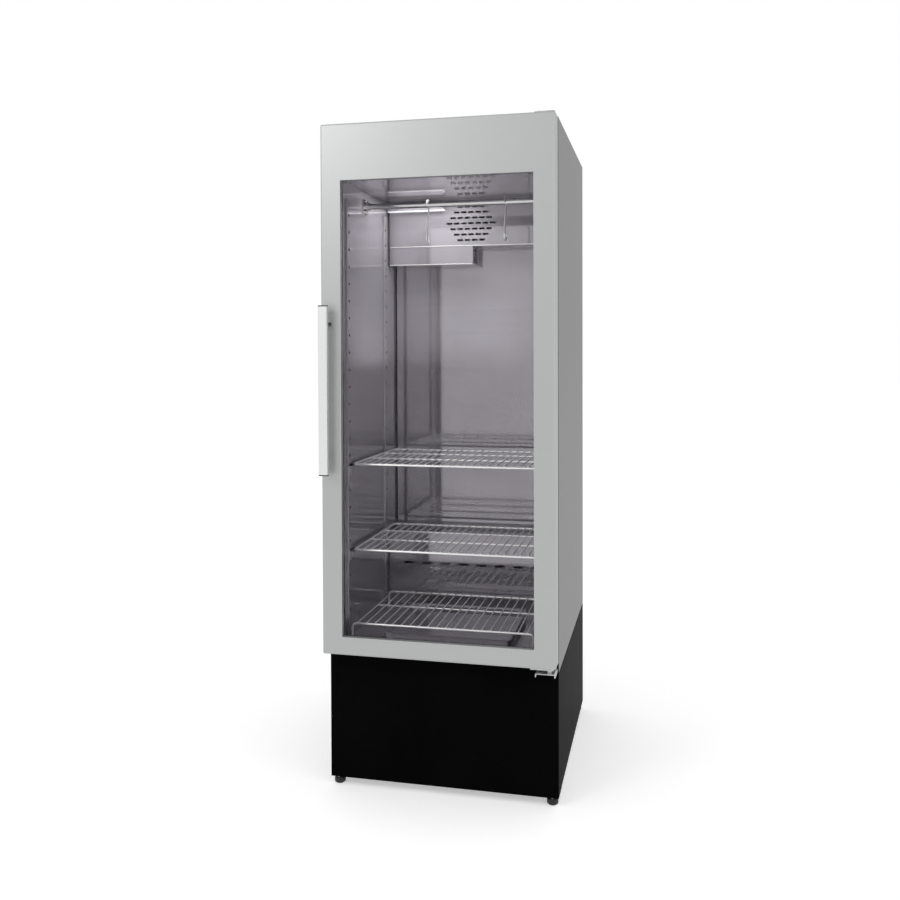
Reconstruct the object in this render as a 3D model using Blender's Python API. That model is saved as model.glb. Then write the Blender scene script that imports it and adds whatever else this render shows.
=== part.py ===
"""Upright dry aging cabinet with a glass door on a black base.

Metres, +Z up. The origin is on the floor, at the middle of the cabinet's box.
The front faces -Y, so a setback is measured from the door's front towards +Y.
"""

import math

import bmesh
import bpy
from mathutils import Matrix, Vector

# Overall sizes
WIDTH = 0.720
DEPTH = 0.830  # door front to rear panel
HEIGHT = 2.060
HANDLE_REACH = 0.040  # handle front ahead of the door front
FOOT_HEIGHT = 0.026
BASE_HEIGHT = 0.374  # black base, without its feet

# Clearances shared by all pieces
GAP = 0.0003  # between pieces that rest on or are fixed to each other
RUN_GAP = 0.001  # between pieces that move past each other
OVERRUN = 0.002  # how far a cutter runs past what it cuts

# Sheet and wall thicknesses
SHEET = 0.0012
HEAVY_SHEET = 0.0030
SIDE_WALL = 0.046
TOP_WALL = 0.157
FLOOR_WALL = 0.050
REAR_WALL = 0.055
SHADOW_GAP = 0.0045  # dark groove between base and body
SHADOW_INSET = 0.006

# Door
DOOR_THICKNESS = 0.055
SEAL_DEPTH = 0.014
DOOR_RISE = 0.0305  # door's lower edge above the body's lower edge
STILE = 0.064
HEADER = 0.172
BOTTOM_RAIL = 0.056
SKIN_DEPTH = 0.050
SKIN_RADIUS = 0.005
WINDOW_RADIUS = 0.0015
GLASS_RECESS = 0.016
PANE = 0.005
PANE_COVER = 0.0235  # how far a pane reaches behind the frame
PANE_SPACE = 0.012
SPACER_WIDTH = 0.010
LINER_LIP = 0.007  # liner's hold on the inner pane
LINER_FLARE = 0.0045
SEAL_LAND = 0.002  # seal's distance from the liner's mouth
SEAL_WIDTH = 0.016
SEAL_SHOULDER = 0.003

# Handle
HANDLE_WIDTH = 0.030
HANDLE_LENGTH = 0.515
HANDLE_DEPTH = 0.014
HANDLE_INSET = 0.005
HANDLE_MIDDLE_Z = 1.246
HANDLE_CAP = 0.003
HANDLE_RADIUS = 0.004
POST_RADIUS = 0.006
POST_INSET = 0.060

# Lock
LOCK_INSET = 0.029  # lock axis from the door's free edge
LOCK_DROP = 0.056  # lock axis below the handle's top
PLUG_RADIUS = 0.0045
PLUG_LENGTH = 0.020
KEYWAY_WIDTH = 0.0012
KEYWAY_HEIGHT = 0.005
KEYWAY_DEPTH = 0.006

# Hinge
HINGE_INSET = 0.022  # axis from the door's edge and from its front
HINGE_PIN_RADIUS = 0.004
HINGE_BORE_GAP = 0.0003
BRACKET_WIDTH = 0.060
BRACKET_EDGE = 0.003  # bracket's side from the body's side
BRACKET_FRONT = 0.008  # bracket's tip behind the door front
BRACKET_DROP = 0.0150  # lower bracket's plate below the door
BRACKET_LEG = 0.008
BRACKET_FOOT = 0.016  # flange that is screwed to the body
BRACKET_REACH = 0.045  # upper bracket's hold on the body
TOP_PIN_LENGTH = 0.018
COLLAR_RADIUS = 0.007
HINGE_PLATE_WIDTH = 0.069
HINGE_PLATE_DEPTH = 0.030
HINGE_PLATE_THICKNESS = 0.004
HINGE_PLATE_EDGE = 0.008  # from the door's side

# Inside of the cabinet
AIR_DUCT_DEPTH = 0.157  # behind the false back wall
COVER_DEPTH = 0.088  # in front of the false back wall
RETURN_BOX_DEPTH = 0.109
PANEL_SIDE_GAP = 0.006
COVER_HEIGHT = 0.163
SIDE_DUCT_HEIGHT = 0.064
RETURN_BOX_DROP = 0.017  # box top below the lower runners

# Fan grille in the evaporator cover
GRILLE_X = -0.006
GRILLE_DROP = 0.082  # grille centre below the ceiling
GRILLE_ROW_PITCH = 0.0197
GRILLE_SLOT_PITCH = 0.0261
GRILLE_SLOT_LENGTH = 0.0205
GRILLE_SLOT_HEIGHT = 0.0062
GRILLE_ROWS = 7
GRILLE_MIDDLE_SLOTS = 7
SLOT_END_STEPS = 2

# Louvres and intake slots
LOUVRE_COUNT = 5
LOUVRE_HEIGHT = 0.006
LOUVRE_MARGIN = 0.012
INTAKE_LENGTH = 0.040
INTAKE_HEIGHT = 0.008
INTAKE_PITCH = 0.066
INTAKE_MARGIN = 0.050  # first slot's middle from the box's end
INTAKE_RISE_SHARE = 0.58  # of the box's height

# Uprights, runners and shelves
UPRIGHT_WIDTH = 0.030
UPRIGHT_PROUD = 0.0065
UPRIGHT_SHEET = 0.0015
UPRIGHT_TOP_DROP = 0.055
UPRIGHT_FLOOR_GAP = 0.012
FRONT_UPRIGHT_SETBACK = 0.107
REAR_UPRIGHT_GAP = 0.026  # rear upright's middle to the return box
HOLE_PITCH = 0.0543
TOP_HOLE_DROP = 0.105
HOLE_WIDTH = 0.006
HOLE_HEIGHT = 0.008
UPPER_SHELF_SHARE = 0.625  # of the upright's holes, from the top
LOWER_SHELF_SHARE = 0.8333
RUNNER_SHEET = 0.0015
RUNNER_RISE = 0.0227  # runner's flange above its hole
RUNNER_FLANGE = 0.015
RUNNER_LEG = 0.007
RUNNER_OVERHANG = 0.012
LUG_WIDTH = 0.018
LUG_DROP = 0.007  # lug below its hole
TAB_LENGTH = 0.005
TAB_PLAY = 0.0005
SHELF_SIDE_PLAY = 0.005
SHELF_SETBACK = 0.107
SHELF_OVERHANG = 0.058  # rear rail behind the rear upright's middle
SHELF_CORNER = 0.012
SHELF_CORNER_STEPS = 3
RAIL_RADIUS = 0.004
CROSS_RAIL_RADIUS = 0.003
WIRE_RADIUS = 0.002
ROD_SIDES = 8
CROSS_RAIL_SIDES = 6
WIRE_SIDES = 4
WIRE_PITCH = 0.025
WIRE_MARGIN = 0.008  # outer wire from the side rail
WIRE_END = 0.001  # wire past the middle of its end rail
WELD_SHARE = 0.7  # of the two radii, how far apart welded rods lie
CROSS_RAIL_SHARES = (0.363, 0.698)  # of the shelf's depth

# Bottom grate and drip tray
GRATE_LEFT_PLAY = 0.009
GRATE_RIGHT_PLAY = 0.031
GRATE_SETBACK = 0.101
GRATE_REAR_PLAY = 0.020
GRATE_HEIGHT = 0.048  # rail above the floor
GRATE_BEND = 0.014
GRATE_WIRE_PITCH = 0.0285
GRATE_CROSS_RAIL_SHARES = (0.54,)  # of the grate's depth
TRAY_SETBACK = 0.100
TRAY_SIDE_PLAY = 0.106
TRAY_REAR_PLAY = 0.069
TRAY_HEIGHT = 0.026
TRAY_RIM = 0.006
TRAY_RADIUS = 0.010
TRAY_DRAFT = 0.004

# Hanging bar and hooks
BAR_RADIUS = 0.010
BAR_SETBACK = 0.280
BAR_DROP = 0.053  # bar's axis below the ceiling
BAR_PLATE_WIDTH = 0.052
BAR_PLATE_HEIGHT = 0.046
SOCKET_DEPTH = 0.014
SOCKET_WALL = 0.003
HOOK_PLACES = {"hook_left": -0.096, "hook_right": 0.163}
HOOK_RADIUS = 0.003
HOOK_TOP_RADIUS = 0.016
HOOK_BOTTOM_RADIUS = 0.017
HOOK_SHANK = 0.100
HOOK_TOP_TURN = math.radians(205)
HOOK_BOTTOM_TURN = math.radians(200)
HOOK_ARC_STEPS = 10

# Lamp
LAMP_LENGTH = 0.206
LAMP_HEIGHT = 0.015
LAMP_DEPTH = 0.022
LAMP_DROP = 0.019  # lamp's top below the ceiling
LENS_HEIGHT = 0.006
LENS_PROUD = 0.002

# Evaporator
COIL_SIDE_GAP = 0.058
COIL_HEIGHT = 0.300
COIL_DEPTH = 0.080
COIL_DROP = 0.030
COIL_WALL_GAP = 0.022  # behind the false back wall
FIN_COUNT = 20
FIN_SHARE = 0.45  # fin's share of the fin pitch
FIN_DEPTH = 0.020
END_PLATE = 0.002
FAN_RADIUS = 0.070
FAN_HUB_RADIUS = 0.024
FAN_HUB_DEPTH = 0.022
FAN_BLADES = 5
FAN_PITCH = math.radians(28)
BLADE_THICKNESS = 0.0016
BLADE_ROOT_STEPS = 3
BLADE_TIP_STEPS = 4
HUB_EDGE = 0.004
BLADE_SWEEP = math.radians(46)
FAN_SETBACK = 0.016  # fan's front behind the cover's front
SHAFT_RADIUS = 0.003
SHAFT_GAP = 0.0003
SHAFT_BITE = 0.012  # shaft's length inside the hub
MOTOR_RADIUS = 0.026
MOTOR_DEPTH = 0.026
MOTOR_STRAP_WIDTH = 0.020
ROUND_STEPS = 24
PIN_STEPS = 16
PIPE_STEPS = 12
CORNER_STEPS = 2

# Base
BASE_SHEET = 0.0015
COVER_RETURN = 0.075
COVER_TOP_GAP = 0.004  # cover's upstand below the door
BASE_FLANGE = 0.030
PANEL_SEAM = 0.0008
FOOT_RADIUS = 0.0175
FOOT_INSET = 0.0215
FOOT_SETBACK = 0.022  # behind the base's front
GRILLE_COLUMNS = 3
GRILLE_LINES = 8
VENT_LENGTH = 0.150
VENT_HEIGHT = 0.008
VENT_PITCH = 0.022
VENT_COLUMN_PITCH = 0.200
VENT_RISE = 0.110
FOOT_STEPS = 16
FOOT_PROFILE_SHARES = ((0.74, 0), (1, 0.16), (1, 0.60), (0.83, 0.76), (0.70, 0.80))
FOOT_STEM_SHARE = 0.70

# Machinery in the base
COMPRESSOR_INSET = 0.210  # its axis from the right side
COMPRESSOR_SETBACK = 0.400
COMPRESSOR_RADIUS = 0.080
COMPRESSOR_HEIGHT = 0.170
COMPRESSOR_FOOT = 0.200
COMPRESSOR_FOOT_WIDTH = 0.050
COMPRESSOR_RISE = 0.012
FOOT_RAIL_RISE = 0.010
FOOT_RAIL_SPREAD_SHARE = 0.55  # of the radius
WELD_RIM = 0.003
LOWER_SHELL_SHARES = ((0, 0), (0.75, 0), (1, 0.20), (1, 0.50))
UPPER_SHELL_SHARES = ((1, 0.53), (0.97, 0.78), (0.72, 0.94), (0.35, 1), (0, 1))
CONDENSER_INSET = 0.050  # from the left side
CONDENSER_WIDTH = 0.300
CONDENSER_HEIGHT = 0.280
CONDENSER_DEPTH = 0.055
CONDENSER_REAR_GAP = 0.030
CONDENSER_FAN_RADIUS = 0.110
SHROUD_DEPTH = 0.050
SHROUD_RING_THICKNESS = 0.006
STRAP_HOLD_SHARE = 0.75  # of the ring's thickness
BOX_WIDTH = 0.150
BOX_HEIGHT = 0.110
BOX_DEPTH = 0.140
BOX_INSET = 0.140  # its middle from the right side
BOX_RISE = 0.010
INLET_WIDTH = 0.028
INLET_HEIGHT = 0.024
INLET_PROUD = 0.002
INLET_DEPTH = 0.014
INLET_WALL = 0.003
PIPE_RADIUS = 0.006
PIPE_BEND = 0.030
PIPE_TURN_DROP = 0.060  # level run below the base's top
PIPE_X = 0.080
PIPE_HOLE_GAP = 0.002
STUB_HEIGHT = 0.012

# Colour, roughness and metallic value of each finish
FINISHES = {
    "door steel": ((0.55, 0.55, 0.56), 0.36, 0.90),
    "side steel": ((0.40, 0.40, 0.41), 0.40, 0.90),
    "inner steel": ((0.42, 0.40, 0.43), 0.22, 0.95),
    "bright wire": ((0.60, 0.58, 0.58), 0.20, 1.00),
    "handle metal": ((0.78, 0.78, 0.79), 0.30, 0.85),
    "zinc": ((0.50, 0.50, 0.50), 0.45, 0.85),
    "black paint": ((0.012, 0.012, 0.013), 0.35, 0.20),
    "black plastic": ((0.015, 0.015, 0.016), 0.55, 0.00),
    "grey rubber": ((0.06, 0.06, 0.065), 0.80, 0.00),
    "foam": ((0.75, 0.68, 0.45), 0.90, 0.00),
    "clear glass": ((0.90, 0.93, 0.93), 0.03, 0.00),
    "lamp diffuser": ((0.92, 0.93, 0.95), 0.40, 0.00),
    "copper": ((0.60, 0.28, 0.16), 0.35, 1.00),
    "fin aluminium": ((0.62, 0.63, 0.64), 0.40, 0.90),
}

# Places worked out from the sizes
DOOR_FRONT_Y = HANDLE_REACH - (DEPTH + HANDLE_REACH) / 2
REAR_Y = DOOR_FRONT_Y + DEPTH
SIDE_X = WIDTH / 2
BODY_SETBACK = DOOR_THICKNESS + SEAL_DEPTH
BODY_FRONT_Y = DOOR_FRONT_Y + BODY_SETBACK
BASE_TOP_Z = FOOT_HEIGHT + BASE_HEIGHT
BODY_BOTTOM_Z = BASE_TOP_Z + SHADOW_GAP
BODY_TOP_Z = HEIGHT - HEAVY_SHEET - GAP
CEILING_Z = BODY_TOP_Z - TOP_WALL
FLOOR_Z = BODY_BOTTOM_Z + FLOOR_WALL
INNER_X = SIDE_X - SIDE_WALL
LINER_REAR_Y = REAR_Y - REAR_WALL
DOOR_BOTTOM_Z = BODY_BOTTOM_Z + DOOR_RISE
DOOR_TOP_Z = HEIGHT - HEAVY_SHEET - RUN_GAP
DOOR_RECT = (-SIDE_X, SIDE_X, DOOR_BOTTOM_Z, DOOR_TOP_Z)
WINDOW_RECT = (STILE - SIDE_X, SIDE_X - STILE, DOOR_BOTTOM_Z + BOTTOM_RAIL, DOOR_TOP_Z - HEADER)
PANEL_X = INNER_X - PANEL_SIDE_GAP
UPRIGHT_X = INNER_X - GAP - UPRIGHT_PROUD
BACK_WALL_SETBACK = DEPTH - REAR_WALL - AIR_DUCT_DEPTH
COVER_SETBACK = BACK_WALL_SETBACK - COVER_DEPTH
RETURN_BOX_SETBACK = BACK_WALL_SETBACK - RETURN_BOX_DEPTH
REAR_UPRIGHT_SETBACK = RETURN_BOX_SETBACK - REAR_UPRIGHT_GAP
SHELF_DEPTH = REAR_UPRIGHT_SETBACK + SHELF_OVERHANG - SHELF_SETBACK - RAIL_RADIUS
UPRIGHT_LOW_Z = FLOOR_Z + UPRIGHT_FLOOR_GAP
TOP_HOLE_Z = CEILING_Z - TOP_HOLE_DROP
LAST_HOLE = int((TOP_HOLE_Z - UPRIGHT_LOW_Z - HOLE_HEIGHT) / HOLE_PITCH)
COIL_X = PANEL_X - COIL_SIDE_GAP
COIL_FRONT_Y = DOOR_FRONT_Y + BACK_WALL_SETBACK + COIL_WALL_GAP
PIPE_Y = COIL_FRONT_Y + COIL_DEPTH / 2
COMPRESSOR_X = SIDE_X - COMPRESSOR_INSET
CONDENSER_X = CONDENSER_INSET + CONDENSER_WIDTH / 2 - SIDE_X
BOX_X = SIDE_X - BOX_INSET
FRAME_REAR_Y = BODY_FRONT_Y + SHEET
HINGE_X = SIDE_X - HINGE_INSET
BASE_FLOOR_Z = FOOT_HEIGHT + HEAVY_SHEET
BASE_FRONT_Y = BODY_FRONT_Y - GAP - BASE_SHEET


def at_setback(setback):
    """Y of a place measured from the door's front."""
    return DOOR_FRONT_Y + setback


def clear_scene():
    for item in list(bpy.data.objects):
        bpy.data.objects.remove(item, do_unlink=True)


def give_finish(item, finish):
    """A material of the object's own, with the finish's colour, roughness and metallic value."""
    colour, roughness, metallic = FINISHES[finish]
    material = bpy.data.materials.new(item.name)
    material.use_nodes = True
    shader = material.node_tree.nodes["Principled BSDF"]
    shader.inputs["Base Color"].default_value = (*colour, 1)
    shader.inputs["Roughness"].default_value = roughness
    shader.inputs["Metallic"].default_value = metallic
    item.data.materials.clear()
    item.data.materials.append(material)


def place_mesh(name, mesh_tool, finish=None):
    """A scene object from a bmesh, its faces turned outwards."""
    bmesh.ops.recalc_face_normals(mesh_tool, faces=mesh_tool.faces)
    mesh = bpy.data.meshes.new(name)
    mesh_tool.to_mesh(mesh)
    mesh_tool.free()
    item = bpy.data.objects.new(name, mesh)
    bpy.context.scene.collection.objects.link(item)
    if finish:
        give_finish(item, finish)
    return item


def bake(item):
    """The object's modifiers, or its curve, turned into its mesh."""
    name = item.name
    view = bpy.context.evaluated_depsgraph_get()
    mesh = bpy.data.meshes.new_from_object(item.evaluated_get(view))
    if item.type == "CURVE":
        bpy.data.objects.remove(item, do_unlink=True)
        item = bpy.data.objects.new(name, mesh)
        bpy.context.scene.collection.objects.link(item)
    else:
        item.modifiers.clear()
        item.data = mesh
    return item


def combine(item, others, operation):
    """A Boolean of the object with each of the others, which are used up."""
    for other in others:
        modifier = item.modifiers.new(operation.lower(), "BOOLEAN")
        modifier.operation = operation
        modifier.solver = "EXACT"
        modifier.object = other
        other.hide_render = True
        other.display_type = "WIRE"
    item = bake(item)
    for other in others:
        bpy.data.objects.remove(other, do_unlink=True)
    return item


def fuse(item, *others):
    return combine(item, others, "UNION")


def cut(item, *others):
    return combine(item, others, "DIFFERENCE")


def smooth(item, angle=math.radians(40)):
    """Round faces shaded smooth, with the real edges kept sharp."""
    item.data.shade_smooth()
    item.data.set_sharp_from_angle(angle=angle)
    return item


def add_block(mesh_tool, low, high):
    low, high = Vector(low), Vector(high)
    size = Matrix.Diagonal((*(high - low), 1))
    bmesh.ops.create_cube(mesh_tool, size=1, matrix=Matrix.Translation((low + high) / 2) @ size)


def block(name, low, high, finish=None):
    mesh_tool = bmesh.new()
    add_block(mesh_tool, low, high)
    return place_mesh(name, mesh_tool, finish)


def blocks(name, corners):
    """Several separate blocks in one cutter."""
    mesh_tool = bmesh.new()
    for low, high in corners:
        add_block(mesh_tool, low, high)
    return place_mesh(name, mesh_tool)


def prism(name, outline, axis, start, end, finish=None):
    """An outline in the plane across an axis, extruded along it."""
    first, second = [index for index in range(3) if index != axis]
    mesh_tool = bmesh.new()
    corners = []
    for point in outline:
        place = [0, 0, 0]
        place[first], place[second] = point
        place[axis] = start
        corners.append(mesh_tool.verts.new(place))
    face = mesh_tool.faces.new(corners)
    grown = bmesh.ops.extrude_face_region(mesh_tool, geom=[face])
    shift = Vector((0, 0, 0))
    shift[axis] = end - start
    moved = [piece for piece in grown["geom"] if isinstance(piece, bmesh.types.BMVert)]
    bmesh.ops.translate(mesh_tool, verts=moved, vec=shift)
    return place_mesh(name, mesh_tool, finish)


def rectangle_loop(rectangle, radius, steps=CORNER_STEPS):
    """Points round a rectangle with round corners, in its own plane."""
    left, right, low, high = rectangle
    corners = ((right, high, 0), (left, high, 1), (left, low, 2), (right, low, 3))
    points = []
    for across, up, quarter in corners:
        middle_x = across - math.copysign(radius, across - (left + right) / 2)
        middle_z = up - math.copysign(radius, up - (low + high) / 2)
        for step in range(steps + 1):
            angle = math.pi / 2 * (quarter + step / steps)
            points.append((middle_x + radius * math.cos(angle), middle_z + radius * math.sin(angle)))
    return points


def rectangle_corners(rectangle):
    left, right, low, high = rectangle
    return ((left, low), (right, low), (right, high), (left, high))


def grown(rectangle, margin):
    left, right, low, high = rectangle
    return (left - margin, right + margin, low - margin, high + margin)


def loft(name, loops, finish=None, ring=False):
    """Loops of equal length bridged in turn, closed on themselves or capped at both ends."""
    mesh_tool = bmesh.new()
    rows = [[mesh_tool.verts.new(point) for point in loop] for loop in loops]
    pairs = list(zip(rows, rows[1:] + rows[:1])) if ring else list(zip(rows, rows[1:]))
    for row, following in pairs:
        for index in range(len(row)):
            after = (index + 1) % len(row)
            mesh_tool.faces.new((row[index], row[after], following[after], following[index]))
    if not ring:
        mesh_tool.faces.new(rows[0])
        mesh_tool.faces.new(rows[-1])
    return place_mesh(name, mesh_tool, finish)


def frame_ring(name, section, finish, outer=DOOR_RECT, window=WINDOW_RECT, outer_radius=SKIN_RADIUS):
    """A section carried round the door or the body front.

    Each section point is (edge, distance from that edge into the frame, setback).
    """
    loops = []
    for edge, distance, setback in section:
        if edge == "outer":
            radius = max(outer_radius - distance, WINDOW_RADIUS)
            loop = rectangle_loop(grown(outer, -distance), radius)
        else:
            loop = rectangle_loop(grown(window, distance), WINDOW_RADIUS)
        loops.append([(x, at_setback(setback), z) for x, z in loop])
    return loft(name, loops, finish, ring=True)


def open_box(name, low, high, sheet, open_axis, open_sign, finish):
    """A box of sheet metal, open on the side that the axis and sign name."""
    low, high = Vector(low), Vector(high)
    hollow_low = low + Vector((sheet, sheet, sheet))
    hollow_high = high - Vector((sheet, sheet, sheet))
    if open_sign > 0:
        hollow_high[open_axis] = high[open_axis]
    else:
        hollow_low[open_axis] = low[open_axis]
    return shell_between(name, (low, high), (hollow_low, hollow_high), open_axis, open_sign, finish)


def shell_between(name, outer, inner, open_axis, open_sign, finish):
    """The solid between two boxes that share one open side."""
    first, second = [index for index in range(3) if index != open_axis]
    mouth = 1 if open_sign > 0 else 0
    loops = []
    for box, side in ((outer, 1 - mouth), (outer, mouth), (inner, mouth), (inner, 1 - mouth)):
        loop = []
        for across, up in ((0, 0), (1, 0), (1, 1), (0, 1)):
            place = [0, 0, 0]
            place[first] = box[across][first]
            place[second] = box[up][second]
            place[open_axis] = box[side][open_axis]
            loop.append(place)
        loops.append(loop)
    return loft(name, loops, finish)


def turned(name, profile, centre, axis, steps, finish=None):
    """A profile of (radius, height) points turned about an axis through the centre."""
    mesh_tool = bmesh.new()
    points = [mesh_tool.verts.new((radius, 0, height)) for radius, height in profile]
    edges = [mesh_tool.edges.new(pair) for pair in zip(points, points[1:])]
    bmesh.ops.spin(
        mesh_tool,
        geom=points + edges,
        cent=(0, 0, 0),
        axis=(0, 0, 1),
        angle=math.tau,
        steps=steps,
        use_merge=True,
    )
    bmesh.ops.remove_doubles(mesh_tool, verts=mesh_tool.verts, dist=GAP / 100)
    turn = Vector((0, 0, 1)).rotation_difference(Vector(axis)).to_matrix().to_4x4()
    bmesh.ops.transform(mesh_tool, matrix=Matrix.Translation(centre) @ turn, verts=mesh_tool.verts)
    return smooth(place_mesh(name, mesh_tool, finish))


def cylinder(name, radius, start, end, finish=None, steps=ROUND_STEPS):
    """A plain cylinder between two points."""
    start, end = Vector(start), Vector(end)
    along = end - start
    profile = ((0, 0), (radius, 0), (radius, along.length), (0, along.length))
    return turned(name, profile, start, along.normalized(), steps, finish)


def rod(name, runs, radius, sides, cyclic=False, finish=None):
    """Round wire along each run of points, with closed ends."""
    curve = bpy.data.curves.new(name, "CURVE")
    curve.dimensions = "3D"
    curve.bevel_depth = radius
    curve.bevel_resolution = sides // 2 - 2
    curve.use_fill_caps = True
    for run in runs:
        spline = curve.splines.new("POLY")
        spline.points.add(len(run) - 1)
        for point, place in zip(spline.points, run):
            point.co = (*place, 1)
        spline.use_cyclic_u = cyclic
    item = bpy.data.objects.new(name, curve)
    bpy.context.scene.collection.objects.link(item)
    item = bake(item)
    smooth(item)
    if finish:
        give_finish(item, finish)
    return item


def arc(centre, radius, start, turn, steps):
    """Points of an arc in a plane, from a start angle through a turn."""
    angles = [start + turn * step / steps for step in range(steps + 1)]
    return [(centre[0] + radius * math.cos(a), centre[1] + radius * math.sin(a)) for a in angles]


def rounded_route(corners, radius, steps=3):
    """A route through corner points, with each corner rounded."""
    corners = [Vector(corner) for corner in corners]
    route = [corners[0]]
    for before, corner, after in zip(corners, corners[1:], corners[2:]):
        back = (before - corner).normalized()
        onward = (after - corner).normalized()
        half = back.angle(onward) / 2
        reach = radius / math.tan(half)
        middle = corner + (back + onward).normalized() * (radius / math.sin(half))
        start = corner + back * reach - middle
        end = corner + onward * reach - middle
        swing = start.angle(end)
        normal = start.cross(end).normalized()
        for step in range(steps + 1):
            route.append(middle + Matrix.Rotation(swing * step / steps, 3, normal) @ start)
    route.append(corners[-1])
    return route


def spread(count, pitch):
    """Places of a row of copies about zero."""
    return [(index - (count - 1) / 2) * pitch for index in range(count)]


def fitting(length, pitch):
    """How many copies at that pitch go into a length."""
    return int(length / pitch) + 1


def hole_z(number):
    """Height of an upright's hole, counted from the top."""
    return TOP_HOLE_Z - number * HOLE_PITCH


def shelf_z(level):
    """Height of the runners' flanges at the upper or lower level."""
    share = UPPER_SHELF_SHARE if level == "upper" else LOWER_SHELF_SHARE
    return hole_z(round(share * LAST_HOLE)) + RUNNER_RISE


def make_casing():
    """Outer wrap, rear and bottom panels, foam, and the liner with its front flange."""
    rear = REAR_Y - SHEET - GAP
    outline = [
        (-SIDE_X, BODY_BOTTOM_Z),
        (-SIDE_X, BODY_TOP_Z),
        (SIDE_X, BODY_TOP_Z),
        (SIDE_X, BODY_BOTTOM_Z),
        (SIDE_X - SHEET, BODY_BOTTOM_Z),
        (SIDE_X - SHEET, BODY_TOP_Z - SHEET),
        (SHEET - SIDE_X, BODY_TOP_Z - SHEET),
        (SHEET - SIDE_X, BODY_BOTTOM_Z),
    ]
    prism("outer_wrap", outline, 1, BODY_FRONT_Y, REAR_Y, "side steel")
    inside_x = SIDE_X - SHEET - GAP
    inside_top = BODY_TOP_Z - SHEET - GAP
    block(
        "rear_panel",
        (-inside_x, REAR_Y - SHEET, BODY_BOTTOM_Z),
        (inside_x, REAR_Y, inside_top),
        "zinc",
    )
    flange_rect = (-inside_x, inside_x, BODY_BOTTOM_Z, inside_top)
    mouth_rect = (-INNER_X, INNER_X, FLOOR_Z, CEILING_Z)
    liner_steps = (
        (grown(mouth_rect, SHEET), LINER_REAR_Y + SHEET),
        (grown(mouth_rect, SHEET), FRAME_REAR_Y),
        (flange_rect, FRAME_REAR_Y),
        (flange_rect, BODY_FRONT_Y),
        (mouth_rect, BODY_FRONT_Y),
        (mouth_rect, LINER_REAR_Y),
    )
    liner_loops = [[(x, y, z) for x, z in rectangle_corners(rectangle)] for rectangle, y in liner_steps]
    liner = loft("inner_liner", liner_loops)
    foam_outer = (
        (-inside_x, FRAME_REAR_Y + GAP, BODY_BOTTOM_Z + GAP),
        (inside_x, rear, inside_top),
    )
    hollow = SHEET + GAP
    foam_inner = (
        (-INNER_X - hollow, FRAME_REAR_Y + GAP, FLOOR_Z - hollow),
        (INNER_X + hollow, LINER_REAR_Y + hollow, CEILING_Z + hollow),
    )
    foam = shell_between("insulation", foam_outer, foam_inner, 1, -1, "foam")
    floor_panel = block(
        "bottom_panel",
        (SHADOW_INSET - SIDE_X, BODY_FRONT_Y + SHADOW_INSET, BASE_TOP_Z + GAP),
        (SIDE_X - SHADOW_INSET, REAR_Y - SHADOW_INSET, BODY_BOTTOM_Z),
    )
    for item, finish in ((liner, "inner steel"), (foam, "foam"), (floor_panel, "black paint")):
        hole = cylinder(
            "pipe_hole",
            PIPE_RADIUS + PIPE_HOLE_GAP,
            (PIPE_X, PIPE_Y, BASE_TOP_Z - OVERRUN),
            (PIPE_X, PIPE_Y, FLOOR_Z + OVERRUN),
            steps=PIPE_STEPS,
        )
        give_finish(cut(item, hole), finish)


def slot_outline(length, height):
    """A slot with round ends, about its own middle."""
    half = (length - height) / 2
    right = arc((half, 0), height / 2, -math.pi / 2, math.pi, SLOT_END_STEPS)
    left = arc((-half, 0), height / 2, math.pi / 2, math.pi, SLOT_END_STEPS)
    return right + left


def slots(name, centres, length, height, start_y, end_y):
    """One cutter of slots with round ends that run along Y."""
    mesh_tool = bmesh.new()
    for x, z in centres:
        rows = []
        for y in (start_y, end_y):
            outline = slot_outline(length, height)
            rows.append([mesh_tool.verts.new((x + a, y, z + b)) for a, b in outline])
        for row in rows:
            mesh_tool.faces.new(row)
        for index in range(len(rows[0])):
            after = (index + 1) % len(rows[0])
            corners = (rows[0][index], rows[0][after], rows[1][after], rows[1][index])
            mesh_tool.faces.new(corners)
    return place_mesh(name, mesh_tool)


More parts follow.
